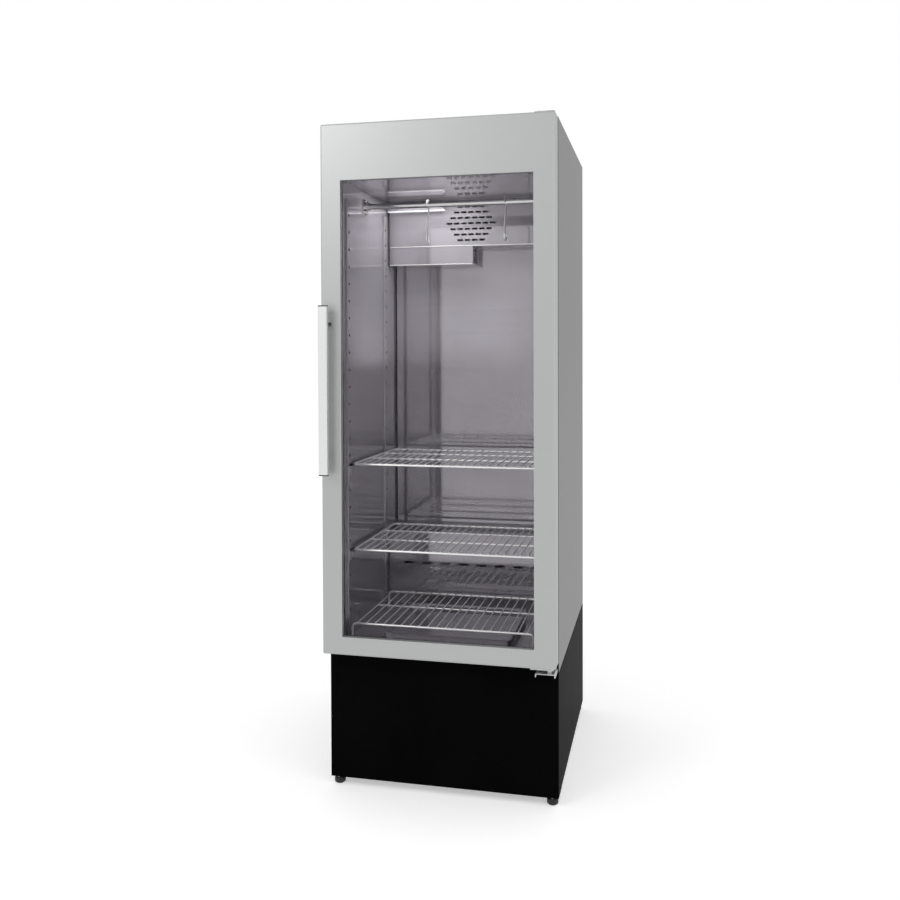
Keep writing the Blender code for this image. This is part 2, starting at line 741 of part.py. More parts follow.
def make_air_system():
    """False back wall, low return box, and the housing under the ceiling with its fan grille."""
    cover_low_z = CEILING_Z - COVER_HEIGHT
    cover_front = at_setback(COVER_SETBACK)
    wall_front = at_setback(BACK_WALL_SETBACK)
    cover = open_box(
        "evaporator_cover",
        (-PANEL_X, cover_front, cover_low_z),
        (PANEL_X, wall_front - GAP, CEILING_Z - GAP),
        SHEET,
        1,
        1,
        "inner steel",
    )
    centres = []
    for row, height in enumerate(spread(GRILLE_ROWS, GRILLE_ROW_PITCH)):
        count = GRILLE_MIDDLE_SLOTS - abs(row - GRILLE_ROWS // 2)
        places = [GRILLE_X + x for x in spread(count, GRILLE_SLOT_PITCH)]
        centres += [(x, CEILING_Z - GRILLE_DROP + height) for x in places]
    grille = slots(
        "grille_cutter",
        centres,
        GRILLE_SLOT_LENGTH,
        GRILLE_SLOT_HEIGHT,
        cover_front - OVERRUN,
        cover_front + SHEET + OVERRUN,
    )
    give_finish(cut(cover, grille), "inner steel")

    duct_top = cover_low_z - GAP
    duct_low = duct_top - SIDE_DUCT_HEIGHT
    duct = open_box(
        "evaporator_duct",
        (-PANEL_X, cover_front, duct_low),
        (0, wall_front - GAP, duct_top),
        SHEET,
        1,
        1,
        "inner steel",
    )
    pitch = (SIDE_DUCT_HEIGHT - LOUVRE_MARGIN) / LOUVRE_COUNT
    levels = [(duct_low + duct_top) / 2 + offset for offset in spread(LOUVRE_COUNT, pitch)]
    louvres = blocks(
        "louvre_cutter",
        [
            (
                (-SHEET - OVERRUN, cover_front + LOUVRE_MARGIN, z - LOUVRE_HEIGHT / 2),
                (OVERRUN, wall_front - LOUVRE_MARGIN, z + LOUVRE_HEIGHT / 2),
            )
            for z in levels
        ],
    )
    give_finish(cut(duct, louvres), "inner steel")

    box_top = shelf_z("lower") - RETURN_BOX_DROP
    box_front = at_setback(RETURN_BOX_SETBACK)
    box = open_box(
        "return_air_box",
        (-PANEL_X, box_front, FLOOR_Z + GAP),
        (PANEL_X, wall_front - GAP, box_top),
        SHEET,
        1,
        1,
        "inner steel",
    )
    intake_z = FLOOR_Z + (box_top - FLOOR_Z) * INTAKE_RISE_SHARE
    count = fitting((PANEL_X - INTAKE_MARGIN) * 2, INTAKE_PITCH)
    holes = slots(
        "intake_cutter",
        [(x, intake_z) for x in spread(count, INTAKE_PITCH)],
        INTAKE_LENGTH,
        INTAKE_HEIGHT,
        box_front - OVERRUN,
        box_front + SHEET + OVERRUN,
    )
    give_finish(cut(box, holes), "inner steel")

    rear = LINER_REAR_Y - GAP
    outline = [
        (-PANEL_X, rear),
        (-PANEL_X, wall_front),
        (PANEL_X, wall_front),
        (PANEL_X, rear),
        (PANEL_X - SHEET, rear),
        (PANEL_X - SHEET, wall_front + SHEET),
        (SHEET - PANEL_X, wall_front + SHEET),
        (SHEET - PANEL_X, rear),
    ]
    wall = prism("air_duct_panel", outline, 2, box_top + GAP, duct_top, "inner steel")
    opening = block(
        "duct_opening",
        (LOUVRE_MARGIN - PANEL_X, wall_front - OVERRUN, duct_low + LOUVRE_MARGIN),
        (-LOUVRE_MARGIN, wall_front + SHEET + OVERRUN, duct_top - LOUVRE_MARGIN),
    )
    give_finish(cut(wall, opening), "inner steel")


def finned_block(name, low, high, finish):
    """A coil block with fins standing out of its front, between two end plates."""
    pitch = (high[0] - low[0]) / FIN_COUNT
    outline = [(low[0], high[1]), (low[0], low[1] + FIN_DEPTH)]
    for index in range(FIN_COUNT):
        start = low[0] + pitch * (index + (1 - FIN_SHARE) / 2)
        end = start + pitch * FIN_SHARE
        outline += [(start, low[1] + FIN_DEPTH), (start, low[1]), (end, low[1]), (end, low[1] + FIN_DEPTH)]
    outline += [(high[0], low[1] + FIN_DEPTH), (high[0], high[1])]
    return prism(name, outline, 2, low[2], high[2], finish)


def fan_wheel(name, radius, hub_radius, centre, blades, finish):
    """A hub bored for its shaft, with pitched blades round it; the axis runs along Y."""
    front = centre[1]
    rear = front + FAN_HUB_DEPTH
    bore = SHAFT_RADIUS + SHAFT_GAP
    shell = FAN_HUB_DEPTH - SHAFT_BITE
    profile = [
        (0, 0),
        (hub_radius - HUB_EDGE, 0),
        (hub_radius, HUB_EDGE),
        (hub_radius, FAN_HUB_DEPTH),
        (bore, FAN_HUB_DEPTH),
        (bore, shell),
        (0, shell),
    ]
    hub = turned(name, profile, centre, (0, 1, 0), ROUND_STEPS, finish)
    middle_y = (front + rear) / 2
    cutters = []
    for index in range(blades):
        mesh_tool = bmesh.new()
        root = hub_radius - BLADE_THICKNESS
        inner = arc((0, 0), root, -BLADE_SWEEP / 2, BLADE_SWEEP, BLADE_ROOT_STEPS)
        outer = arc((0, 0), radius, BLADE_SWEEP / 2, -BLADE_SWEEP, BLADE_TIP_STEPS)
        outline = inner + outer
        half = BLADE_THICKNESS / 2
        rows = []
        for side in (-half, half):
            row = []
            for a, b in outline:
                lean = b * math.tan(FAN_PITCH) * hub_radius / math.hypot(a, b)
                row.append(mesh_tool.verts.new((a, side + lean, b)))
            rows.append(row)
        for row in rows:
            bmesh.ops.triangle_fill(mesh_tool, edges=closed_edges(mesh_tool, row), use_beauty=True)
        for place in range(len(outline)):
            after = (place + 1) % len(outline)
            corners = (rows[0][place], rows[0][after], rows[1][after], rows[1][place])
            mesh_tool.faces.new(corners)
        turn = Matrix.Rotation(math.tau * index / blades, 4, "Y")
        shift = Matrix.Translation((centre[0], middle_y, centre[2]))
        bmesh.ops.transform(mesh_tool, matrix=shift @ turn, verts=mesh_tool.verts)
        cutters.append(place_mesh("blade", mesh_tool))
    wheel = fuse(hub, *cutters)
    give_finish(wheel, finish)
    set_origin(wheel, centre)
    return wheel


def closed_edges(mesh_tool, row):
    """Edges that join a row of points into a closed loop."""
    return [mesh_tool.edges.new((row[i], row[(i + 1) % len(row)])) for i in range(len(row))]


def set_origin(item, place):
    """The object's origin moved to a place, its shape left where it is."""
    item.data.transform(Matrix.Translation(-Vector(place)))
    item.location = place
    bpy.context.view_layer.update()


def fan_motor(name, centre, reach_down, reach_up):
    """A motor can with its shaft into the hub, on a strap that runs up and down."""
    hub_rear = centre[1] + FAN_HUB_DEPTH
    shaft_front = hub_rear - SHAFT_BITE + RUN_GAP
    can_front = hub_rear + RUN_GAP
    profile = [
        (0, shaft_front - can_front),
        (SHAFT_RADIUS, shaft_front - can_front),
        (SHAFT_RADIUS, 0),
        (MOTOR_RADIUS, 0),
        (MOTOR_RADIUS, MOTOR_DEPTH),
        (0, MOTOR_DEPTH),
    ]
    can = turned(name, profile, (centre[0], can_front, centre[2]), (0, 1, 0), ROUND_STEPS)
    strap_y = can_front + MOTOR_DEPTH / 2
    strap = block(
        "strap",
        (centre[0] - MOTOR_STRAP_WIDTH / 2, strap_y, centre[2] - reach_down),
        (centre[0] + MOTOR_STRAP_WIDTH / 2, strap_y + HEAVY_SHEET, centre[2] + reach_up),
    )
    return smooth(fuse(can, strap))


def make_evaporator():
    """Coil behind the cover, and the fan that blows through the grille."""
    coil_top = CEILING_Z - COIL_DROP
    low = (-COIL_X, COIL_FRONT_Y, coil_top - COIL_HEIGHT)
    high = (COIL_X, COIL_FRONT_Y + COIL_DEPTH, coil_top)
    coil = finned_block("evaporator_coil", low, high, "fin aluminium")
    plates = [
        block(
            "end_plate",
            (side - END_PLATE / 2, low[1], low[2]),
            (side + END_PLATE / 2, high[1] + END_PLATE, CEILING_Z - GAP),
        )
        for side in (low[0], high[0])
    ]
    give_finish(fuse(coil, *plates), "fin aluminium")

    grille_z = CEILING_Z - GRILLE_DROP
    centre = (GRILLE_X, at_setback(COVER_SETBACK) + FAN_SETBACK, grille_z)
    fan_wheel("evaporator_fan", FAN_RADIUS, FAN_HUB_RADIUS, centre, FAN_BLADES, "black plastic")
    down = grille_z - (CEILING_Z - COVER_HEIGHT) - SHEET - GAP
    up = GRILLE_DROP - GAP - SHEET - GAP
    give_finish(fan_motor("evaporator_fan_motor", centre, down, up), "black plastic")


def make_lamp():
    """Channel under the ceiling, against the evaporator cover, with its diffuser."""
    rear = at_setback(COVER_SETBACK) - GAP
    front = rear - LAMP_DEPTH
    top = CEILING_Z - LAMP_DROP
    low = top - LAMP_HEIGHT
    outline = [
        (front, low),
        (front, top),
        (rear, top),
        (rear, low),
        (rear - SHEET, low),
        (rear - SHEET, top - SHEET),
        (front + SHEET, top - SHEET),
        (front + SHEET, low),
    ]
    start = -PANEL_X
    prism("lamp_housing", outline, 0, start, start + LAMP_LENGTH, "inner steel")
    block(
        "lamp_lens",
        (start, front + SHEET + GAP, low - LENS_PROUD),
        (start + LAMP_LENGTH, rear - SHEET - GAP, low - LENS_PROUD + LENS_HEIGHT),
        "lamp diffuser",
    )


def make_uprights():
    """Four perforated channels on the side walls."""
    low = UPRIGHT_LOW_Z
    top = CEILING_Z - UPRIGHT_TOP_DROP
    heights = [hole_z(number) for number in range(LAST_HOLE + 1)]
    places = {"front": FRONT_UPRIGHT_SETBACK, "rear": REAR_UPRIGHT_SETBACK}
    for row, setback in places.items():
        for side, sign in (("left", -1), ("right", 1)):
            middle = at_setback(setback)
            near, far = UPRIGHT_X, INNER_X - GAP
            half = UPRIGHT_WIDTH / 2
            outline = [
                (sign * far, middle - half),
                (sign * near, middle - half),
                (sign * near, middle + half),
                (sign * far, middle + half),
                (sign * far, middle + half - UPRIGHT_SHEET),
                (sign * (near + UPRIGHT_SHEET), middle + half - UPRIGHT_SHEET),
                (sign * (near + UPRIGHT_SHEET), middle - half + UPRIGHT_SHEET),
                (sign * far, middle - half + UPRIGHT_SHEET),
            ]
            item = prism(f"upright_{row}_{side}", outline, 2, low, top)
            inner = near - OVERRUN
            outer = near + UPRIGHT_SHEET + OVERRUN
            holes = [
                (
                    (min(sign * inner, sign * outer), middle - HOLE_WIDTH / 2, z - HOLE_HEIGHT / 2),
                    (max(sign * inner, sign * outer), middle + HOLE_WIDTH / 2, z + HOLE_HEIGHT / 2),
                )
                for z in heights
            ]
            give_finish(cut(item, blocks("hole_cutter", holes)), "inner steel")


def make_runner(name, sign, height):
    """An angle rail with a hooked lug at each upright; its flange's top is at the height."""
    face = UPRIGHT_X - GAP
    back = face - RUNNER_SHEET
    front_y = at_setback(FRONT_UPRIGHT_SETBACK) - RUNNER_OVERHANG
    rear_y = at_setback(REAR_UPRIGHT_SETBACK) + RUNNER_OVERHANG
    outline = [
        (sign * face, height + RUNNER_LEG),
        (sign * face, height - RUNNER_SHEET),
        (sign * (face - RUNNER_FLANGE), height - RUNNER_SHEET),
        (sign * (face - RUNNER_FLANGE), height),
        (sign * back, height),
        (sign * back, height + RUNNER_LEG),
    ]
    rail = prism(name, outline, 1, front_y, rear_y)
    hole = height - RUNNER_RISE
    pieces = []
    for setback in (FRONT_UPRIGHT_SETBACK, REAR_UPRIGHT_SETBACK):
        y = at_setback(setback)
        inner, outer = sorted((sign * back, sign * face))
        lug_low = (inner, y - LUG_WIDTH / 2, hole - LUG_DROP)
        lug_high = (outer, y + LUG_WIDTH / 2, height - RUNNER_SHEET / 2)
        pieces.append(block("lug", lug_low, lug_high))
        inner, outer = sorted((sign * (back + RUNNER_SHEET / 2), sign * (face + TAB_LENGTH)))
        half_width = HOLE_WIDTH / 2 - TAB_PLAY
        half_height = HOLE_HEIGHT / 2 - TAB_PLAY
        tab_low = (inner, y - half_width, hole - half_height)
        tab_high = (outer, y + half_width, hole + half_height)
        pieces.append(block("tab", tab_low, tab_high))
    give_finish(fuse(rail, *pieces), "inner steel")


def wires_along_depth(name, xs, front_y, rear_y, z):
    runs = [[(x, front_y, z), (x, rear_y, z)] for x in xs]
    return rod(name, runs, WIRE_RADIUS, WIRE_SIDES)


def cross_rails(left, right, places, wire_z):
    """Thinner rails from side to side, welded under the wires."""
    z = wire_z - WELD_SHARE * (CROSS_RAIL_RADIUS + WIRE_RADIUS)
    runs = [[(left, y, z), (right, y, z)] for y in places]
    return rod("cross_rails", runs, CROSS_RAIL_RADIUS, CROSS_RAIL_SIDES)


def make_shelf(name, height):
    """A rounded rail frame with two cross rails and wires welded on top."""
    half_width = UPRIGHT_X - GAP - RUNNER_SHEET - SHELF_SIDE_PLAY - RAIL_RADIUS
    rail_z = height + GAP + RAIL_RADIUS
    front_y = at_setback(SHELF_SETBACK) + RAIL_RADIUS
    rear_y = front_y + SHELF_DEPTH
    plan = rectangle_loop((-half_width, half_width, front_y, rear_y), SHELF_CORNER, SHELF_CORNER_STEPS)
    frame = rod(name, [[(x, y, rail_z) for x, y in plan]], RAIL_RADIUS, ROD_SIDES, cyclic=True)
    wire_z = rail_z + WELD_SHARE * (RAIL_RADIUS + WIRE_RADIUS)
    places = [front_y + share * SHELF_DEPTH for share in CROSS_RAIL_SHARES]
    cross = cross_rails(-half_width, half_width, places, wire_z)
    across = spread(fitting((half_width - WIRE_MARGIN) * 2, WIRE_PITCH), WIRE_PITCH)
    wires = wires_along_depth("wires", across, front_y - WIRE_END, rear_y + WIRE_END, wire_z)
    shelf = fuse(frame, cross, wires)
    give_finish(shelf, "bright wire")
    return smooth(shelf)


def make_shelves():
    for level in ("upper", "lower"):
        height = shelf_z(level)
        make_runner(f"runner_{level}_left", -1, height)
        make_runner(f"runner_{level}_right", 1, height)
        make_shelf(f"{level}_shelf", height)


def make_bottom_grate():
    """Wires over two rails whose ends bend down to the floor."""
    left = GRATE_LEFT_PLAY + RAIL_RADIUS - INNER_X
    right = INNER_X - GRATE_RIGHT_PLAY - RAIL_RADIUS
    rail_z = FLOOR_Z + GRATE_HEIGHT
    foot_z = FLOOR_Z + GAP
    front_y = at_setback(GRATE_SETBACK) + RAIL_RADIUS
    rear_y = at_setback(RETURN_BOX_SETBACK) - GRATE_REAR_PLAY - RAIL_RADIUS
    legs = []
    for y in (front_y, rear_y):
        corners = [
            (left, y, foot_z),
            (left, y, rail_z),
            (right, y, rail_z),
            (right, y, foot_z),
        ]
        legs.append(rounded_route(corners, GRATE_BEND))
    grate = rod("bottom_grate", legs, RAIL_RADIUS, ROD_SIDES)
    wire_z = rail_z + WELD_SHARE * (RAIL_RADIUS + WIRE_RADIUS)
    places = [front_y + share * (rear_y - front_y) for share in GRATE_CROSS_RAIL_SHARES]
    start, end = left + GRATE_BEND, right - GRATE_BEND
    cross = cross_rails(start, end, places, wire_z)
    count = fitting(end - start, GRATE_WIRE_PITCH)
    across = [(start + end) / 2 + x for x in spread(count, GRATE_WIRE_PITCH)]
    wires = wires_along_depth("wires", across, front_y - WIRE_END, rear_y + WIRE_END, wire_z)
    grate = fuse(grate, cross, wires)
    give_finish(grate, "bright wire")
    smooth(grate)


def dish(name, rectangle, low_z, height, rim, draft, radius, finish):
    """A pressed tray with drawn sides and a flat rim."""
    top = low_z + height
    steps = (
        (grown(rectangle, -rim - draft), low_z),
        (grown(rectangle, -rim), top - SHEET),
        (rectangle, top - SHEET),
        (rectangle, top),
        (grown(rectangle, -rim - SHEET), top),
        (grown(rectangle, -rim - draft - SHEET), low_z + SHEET),
    )
    loops = [[(x, y, z) for x, y in rectangle_loop(rect, radius)] for rect, z in steps]
    return loft(name, loops, finish)


def make_drip_tray():
    front = at_setback(TRAY_SETBACK)
    half_width = INNER_X - TRAY_SIDE_PLAY
    rectangle = (-half_width, half_width, front, at_setback(RETURN_BOX_SETBACK) - TRAY_REAR_PLAY)
    low_z = FLOOR_Z + GAP
    dish("drip_tray", rectangle, low_z, TRAY_HEIGHT, TRAY_RIM, TRAY_DRAFT, TRAY_RADIUS, "bright wire")


def make_bar_and_hooks():
    """Bar between two wall sockets, and hooks hung over it."""
    bar_y = at_setback(BAR_SETBACK)
    bar_z = CEILING_Z - BAR_DROP
    wall = INNER_X - GAP
    plate = wall - HEAVY_SHEET
    bar_end = plate - GAP
    cylinder("hanging_bar", BAR_RADIUS, (-bar_end, bar_y, bar_z), (bar_end, bar_y, bar_z), "bright wire")
    for side, sign in (("left", -1), ("right", 1)):
        rectangle = (
            bar_y - BAR_PLATE_WIDTH / 2,
            bar_y + BAR_PLATE_WIDTH / 2,
            bar_z - BAR_PLATE_HEIGHT / 2,
            bar_z + BAR_PLATE_HEIGHT / 2,
        )
        loop = rectangle_loop(rectangle, HANDLE_RADIUS)
        loops = [[(sign * x, y, z) for y, z in loop] for x in (wall, plate)]
        bracket = loft(f"bar_bracket_{side}", loops)
        inner = BAR_RADIUS + GAP
        outer = inner + SOCKET_WALL
        deep = HEAVY_SHEET / 2
        profile = [(inner, -deep), (outer, -deep), (outer, SOCKET_DEPTH), (inner, SOCKET_DEPTH)]
        profile.append(profile[0])
        centre = (sign * plate, bar_y, bar_z)
        socket = turned("socket", profile, centre, (-sign, 0, 0), ROUND_STEPS)
        give_finish(smooth(fuse(bracket, socket)), "bright wire")
    for name, x in HOOK_PLACES.items():
        make_hook(name, x, bar_y, bar_z)


def make_hook(name, x, bar_y, bar_z):
    """An S hook over the bar, turned so that its lower bend hangs under the bar's axis."""
    drop = HOOK_TOP_RADIUS - HOOK_RADIUS - BAR_RADIUS - GAP
    top_centre = (bar_y, bar_z - drop)
    top = arc(top_centre, HOOK_TOP_RADIUS, HOOK_TOP_TURN, -HOOK_TOP_TURN, HOOK_ARC_STEPS)
    shank_y = bar_y + HOOK_TOP_RADIUS
    low_z = top_centre[1] - HOOK_SHANK
    low_centre = (shank_y + HOOK_BOTTOM_RADIUS, low_z)
    bottom = arc(low_centre, HOOK_BOTTOM_RADIUS, math.pi, HOOK_BOTTOM_TURN, HOOK_ARC_STEPS)
    run = [(x, y, z) for y, z in top + bottom]
    hook = rod(name, [run], HOOK_RADIUS, ROD_SIDES, finish="bright wire")
    set_origin(hook, (x, bar_y, bar_z))
    lean = math.atan2(low_centre[0] - bar_y, bar_z - low_centre[1])
    hook.data.transform(Matrix.Rotation(-lean, 4, "X"))


def make_door():
    """Folded skin, foam, rear liner, seal and double glazing."""
    diagonal = 1 - math.sqrt(0.5)
    inner_radius = SKIN_RADIUS - SHEET
    skin = frame_ring(
        "door_skin",
        (
            ("outer", 0, SKIN_DEPTH),
            ("outer", 0, SKIN_RADIUS),
            ("outer", SKIN_RADIUS * diagonal, SKIN_RADIUS * diagonal),
            ("outer", SKIN_RADIUS, 0),
            ("window", 0, 0),
            ("window", 0, GLASS_RECESS),
            ("window", SHEET, GLASS_RECESS),
            ("window", SHEET, SHEET),
            ("outer", SKIN_RADIUS, SHEET),
            ("outer", SHEET + inner_radius * diagonal, SHEET + inner_radius * diagonal),
            ("outer", SHEET, SKIN_RADIUS),
            ("outer", SHEET, SKIN_DEPTH),
        ),
        "door steel",
    )
    glass_front = GLASS_RECESS + GAP
    space_front = glass_front + PANE + GAP
    second_front = space_front + PANE_SPACE + GAP
    liner_front = second_front + PANE + GAP
    foam = frame_ring(
        "door_insulation",
        (
            ("outer", SHEET + GAP, SKIN_RADIUS + GAP),
            ("outer", SKIN_RADIUS + GAP, SHEET + GAP),
            ("window", SHEET + GAP, SHEET + GAP),
            ("window", SHEET + GAP, GLASS_RECESS - GAP),
            ("window", PANE_COVER + GAP, GLASS_RECESS),
            ("window", PANE_COVER + GAP, SKIN_DEPTH),
            ("outer", SHEET + GAP, SKIN_DEPTH),
        ),
        "foam",
    )
    frame_ring(
        "door_liner",
        (
            ("outer", 0, SKIN_DEPTH + GAP),
            ("window", PANE_COVER, SKIN_DEPTH + GAP),
            ("window", PANE_COVER, liner_front),
            ("window", PANE_COVER - LINER_LIP, liner_front),
            ("window", PANE_COVER - LINER_LIP + LINER_FLARE, DOOR_THICKNESS),
            ("outer", 0, DOOR_THICKNESS),
        ),
        "black plastic",
    )
    seal_front = DOOR_THICKNESS + GAP
    seal_rear = BODY_SETBACK - GAP
    seal_rect = grown((-INNER_X, INNER_X, FLOOR_Z, CEILING_Z), SEAL_LAND)
    seal_section = (
        ("window", SEAL_WIDTH, seal_front),
        ("window", SEAL_WIDTH, seal_rear - SEAL_SHOULDER),
        ("window", SEAL_WIDTH - SEAL_SHOULDER, seal_rear),
        ("window", SEAL_SHOULDER, seal_rear),
        ("window", 0, seal_rear - SEAL_SHOULDER),
        ("window", 0, seal_front),
    )
    frame_ring("door_gasket", seal_section, "grey rubber", window=seal_rect)
    pane_rect = grown(WINDOW_RECT, PANE_COVER)
    for name, front in (("glass_outer", glass_front), ("glass_inner", second_front)):
        loop = rectangle_loop(pane_rect, WINDOW_RADIUS)
        loops = [[(x, at_setback(setback), z) for x, z in loop] for setback in (front, front + PANE)]
        loft(name, loops, "clear glass")
    frame_ring(
        "glazing_spacer",
        (
            ("window", PANE_COVER - SPACER_WIDTH, space_front),
            ("window", PANE_COVER, space_front),
            ("window", PANE_COVER, space_front + PANE_SPACE),
            ("window", PANE_COVER - SPACER_WIDTH, space_front + PANE_SPACE),
        ),
        "black plastic",
    )
    return skin, foam


def make_handle():
    """Flat bar on two posts, with a dark cap at each end."""
    left = HANDLE_INSET - SIDE_X
    front = DOOR_FRONT_Y - HANDLE_REACH
    rear = front + HANDLE_DEPTH
    rectangle = (left, left + HANDLE_WIDTH, front, rear)
    low = HANDLE_MIDDLE_Z - HANDLE_LENGTH / 2
    top = HANDLE_MIDDLE_Z + HANDLE_LENGTH / 2
    loop = rectangle_loop(rectangle, HANDLE_RADIUS)
    heights = (low + HANDLE_CAP + GAP, top - HANDLE_CAP - GAP)
    bar = loft("handle_bar", [[(x, y, z) for x, y in loop] for z in heights])
    middle_x = left + HANDLE_WIDTH / 2
    posts = [
        cylinder(
            "post",
            POST_RADIUS,
            (middle_x, rear - HANDLE_DEPTH / 2, z),
            (middle_x, DOOR_FRONT_Y - GAP, z),
            steps=PIN_STEPS,
        )
        for z in (low + POST_INSET, top - POST_INSET)
    ]
    bar = smooth(fuse(bar, *posts))
    give_finish(bar, "handle metal")
    for name, z in (("handle_cap_bottom", low), ("handle_cap_top", top - HANDLE_CAP)):
        loft(name, [[(x, y, level) for x, y in loop] for level in (z, z + HANDLE_CAP)], "black plastic")
    return top


def make_lock(skin, foam, handle_top):
    """Key plug that turns in a bore through the stile's skin and foam."""
    x = LOCK_INSET - SIDE_X
    z = handle_top - LOCK_DROP
    bore = PLUG_RADIUS + GAP
    plug = cylinder(
        "lock_plug",
        PLUG_RADIUS,
        (x, DOOR_FRONT_Y, z),
        (x, DOOR_FRONT_Y + PLUG_LENGTH, z),
        steps=PIN_STEPS,
    )
    keyway = block(
        "keyway",
        (x - KEYWAY_WIDTH / 2, DOOR_FRONT_Y - OVERRUN, z - KEYWAY_HEIGHT / 2),
        (x + KEYWAY_WIDTH / 2, DOOR_FRONT_Y + KEYWAY_DEPTH, z + KEYWAY_HEIGHT / 2),
    )
    plug = cut(plug, keyway)
    give_finish(plug, "black plastic")
    set_origin(plug, (x, DOOR_FRONT_Y, z))
    start = (x, DOOR_FRONT_Y - OVERRUN, z)
    end = (x, DOOR_FRONT_Y + PLUG_LENGTH + GAP, z)
    skin = cut(skin, cylinder("lock_hole", bore, start, end, steps=PIN_STEPS))
    foam = cut(foam, cylinder("lock_hole", bore, start, end, steps=PIN_STEPS))
    return skin, foam


def make_hinges(skin, foam):
    """Lower bracket with pin and collar, upper plate with pin, and the door's own plate."""
    axis_y = at_setback(HINGE_INSET)
    bore = HINGE_PIN_RADIUS + HINGE_BORE_GAP
    right = SIDE_X - BRACKET_EDGE
    left = right - BRACKET_WIDTH
    front = at_setback(BRACKET_FRONT)
    plate_top = DOOR_BOTTOM_Z - BRACKET_DROP
    plate_low = plate_top - HEAVY_SHEET
    fixed = BASE_FRONT_Y - GAP
    outline = [
        (left, plate_low - BRACKET_LEG),
        (left, plate_top - HEAVY_SHEET),
        (left + HEAVY_SHEET, plate_top),
        (right - HEAVY_SHEET, plate_top),
        (right, plate_top - HEAVY_SHEET),
        (right, plate_low - BRACKET_LEG),
        (right - HEAVY_SHEET, plate_low - BRACKET_LEG),
        (right - HEAVY_SHEET, plate_low),
        (left + HEAVY_SHEET, plate_low),
        (left + HEAVY_SHEET, plate_low - BRACKET_LEG),
    ]
    lower = prism("hinge_bracket_bottom", outline, 1, front, fixed)
    foot = block(
        "bracket_foot",
        (left + HEAVY_SHEET, fixed - HEAVY_SHEET, plate_low + HEAVY_SHEET / 2),
        (right - HEAVY_SHEET, fixed, plate_low + BRACKET_FOOT),
    )
    hinge_plate_low = DOOR_BOTTOM_Z - GAP - HINGE_PLATE_THICKNESS
    profile = [
        (0, -HEAVY_SHEET / 2),
        (COLLAR_RADIUS, -HEAVY_SHEET / 2),
        (COLLAR_RADIUS, hinge_plate_low - GAP - plate_top),
        (HINGE_PIN_RADIUS, hinge_plate_low - GAP - plate_top),
        (HINGE_PIN_RADIUS, DOOR_BOTTOM_Z - RUN_GAP - plate_top),
        (0, DOOR_BOTTOM_Z - RUN_GAP - plate_top),
    ]
    pin = turned("pin", profile, (HINGE_X, axis_y, plate_top), (0, 0, 1), PIN_STEPS)
    give_finish(fuse(lower, foot, pin), "bright wire")

    plate_x = SIDE_X - HINGE_PLATE_EDGE
    plate = block(
        "door_hinge_plate",
        (plate_x - HINGE_PLATE_WIDTH, axis_y - HINGE_PLATE_DEPTH / 2, hinge_plate_low),
        (plate_x, axis_y + HINGE_PLATE_DEPTH / 2, DOOR_BOTTOM_Z - GAP),
    )
    hole = cylinder(
        "pin_hole",
        bore,
        (HINGE_X, axis_y, hinge_plate_low - OVERRUN),
        (HINGE_X, axis_y, DOOR_BOTTOM_Z + OVERRUN),
        steps=PIN_STEPS,
    )
    give_finish(cut(plate, hole), "bright wire")

    top_low = HEIGHT - HEAVY_SHEET
    upper = block(
        "hinge_bracket_top",
        (left, front, top_low),
        (right, BODY_FRONT_Y + BRACKET_REACH, HEIGHT),
    )
    top_pin = cylinder(
        "pin",
        HINGE_PIN_RADIUS,
        (HINGE_X, axis_y, top_low - TOP_PIN_LENGTH),
        (HINGE_X, axis_y, top_low + HEAVY_SHEET / 2),
        steps=PIN_STEPS,
    )
    give_finish(fuse(upper, top_pin), "bright wire")
    start = (HINGE_X, axis_y, top_low - TOP_PIN_LENGTH - RUN_GAP)
    end = (HINGE_X, axis_y, HEIGHT)
    skin = cut(skin, cylinder("pin_hole", bore, start, end, steps=PIN_STEPS))
    foam = cut(foam, cylinder("pin_hole", bore, start, end, steps=PIN_STEPS))
    give_finish(skin, "door steel")
    give_finish(foam, "foam")


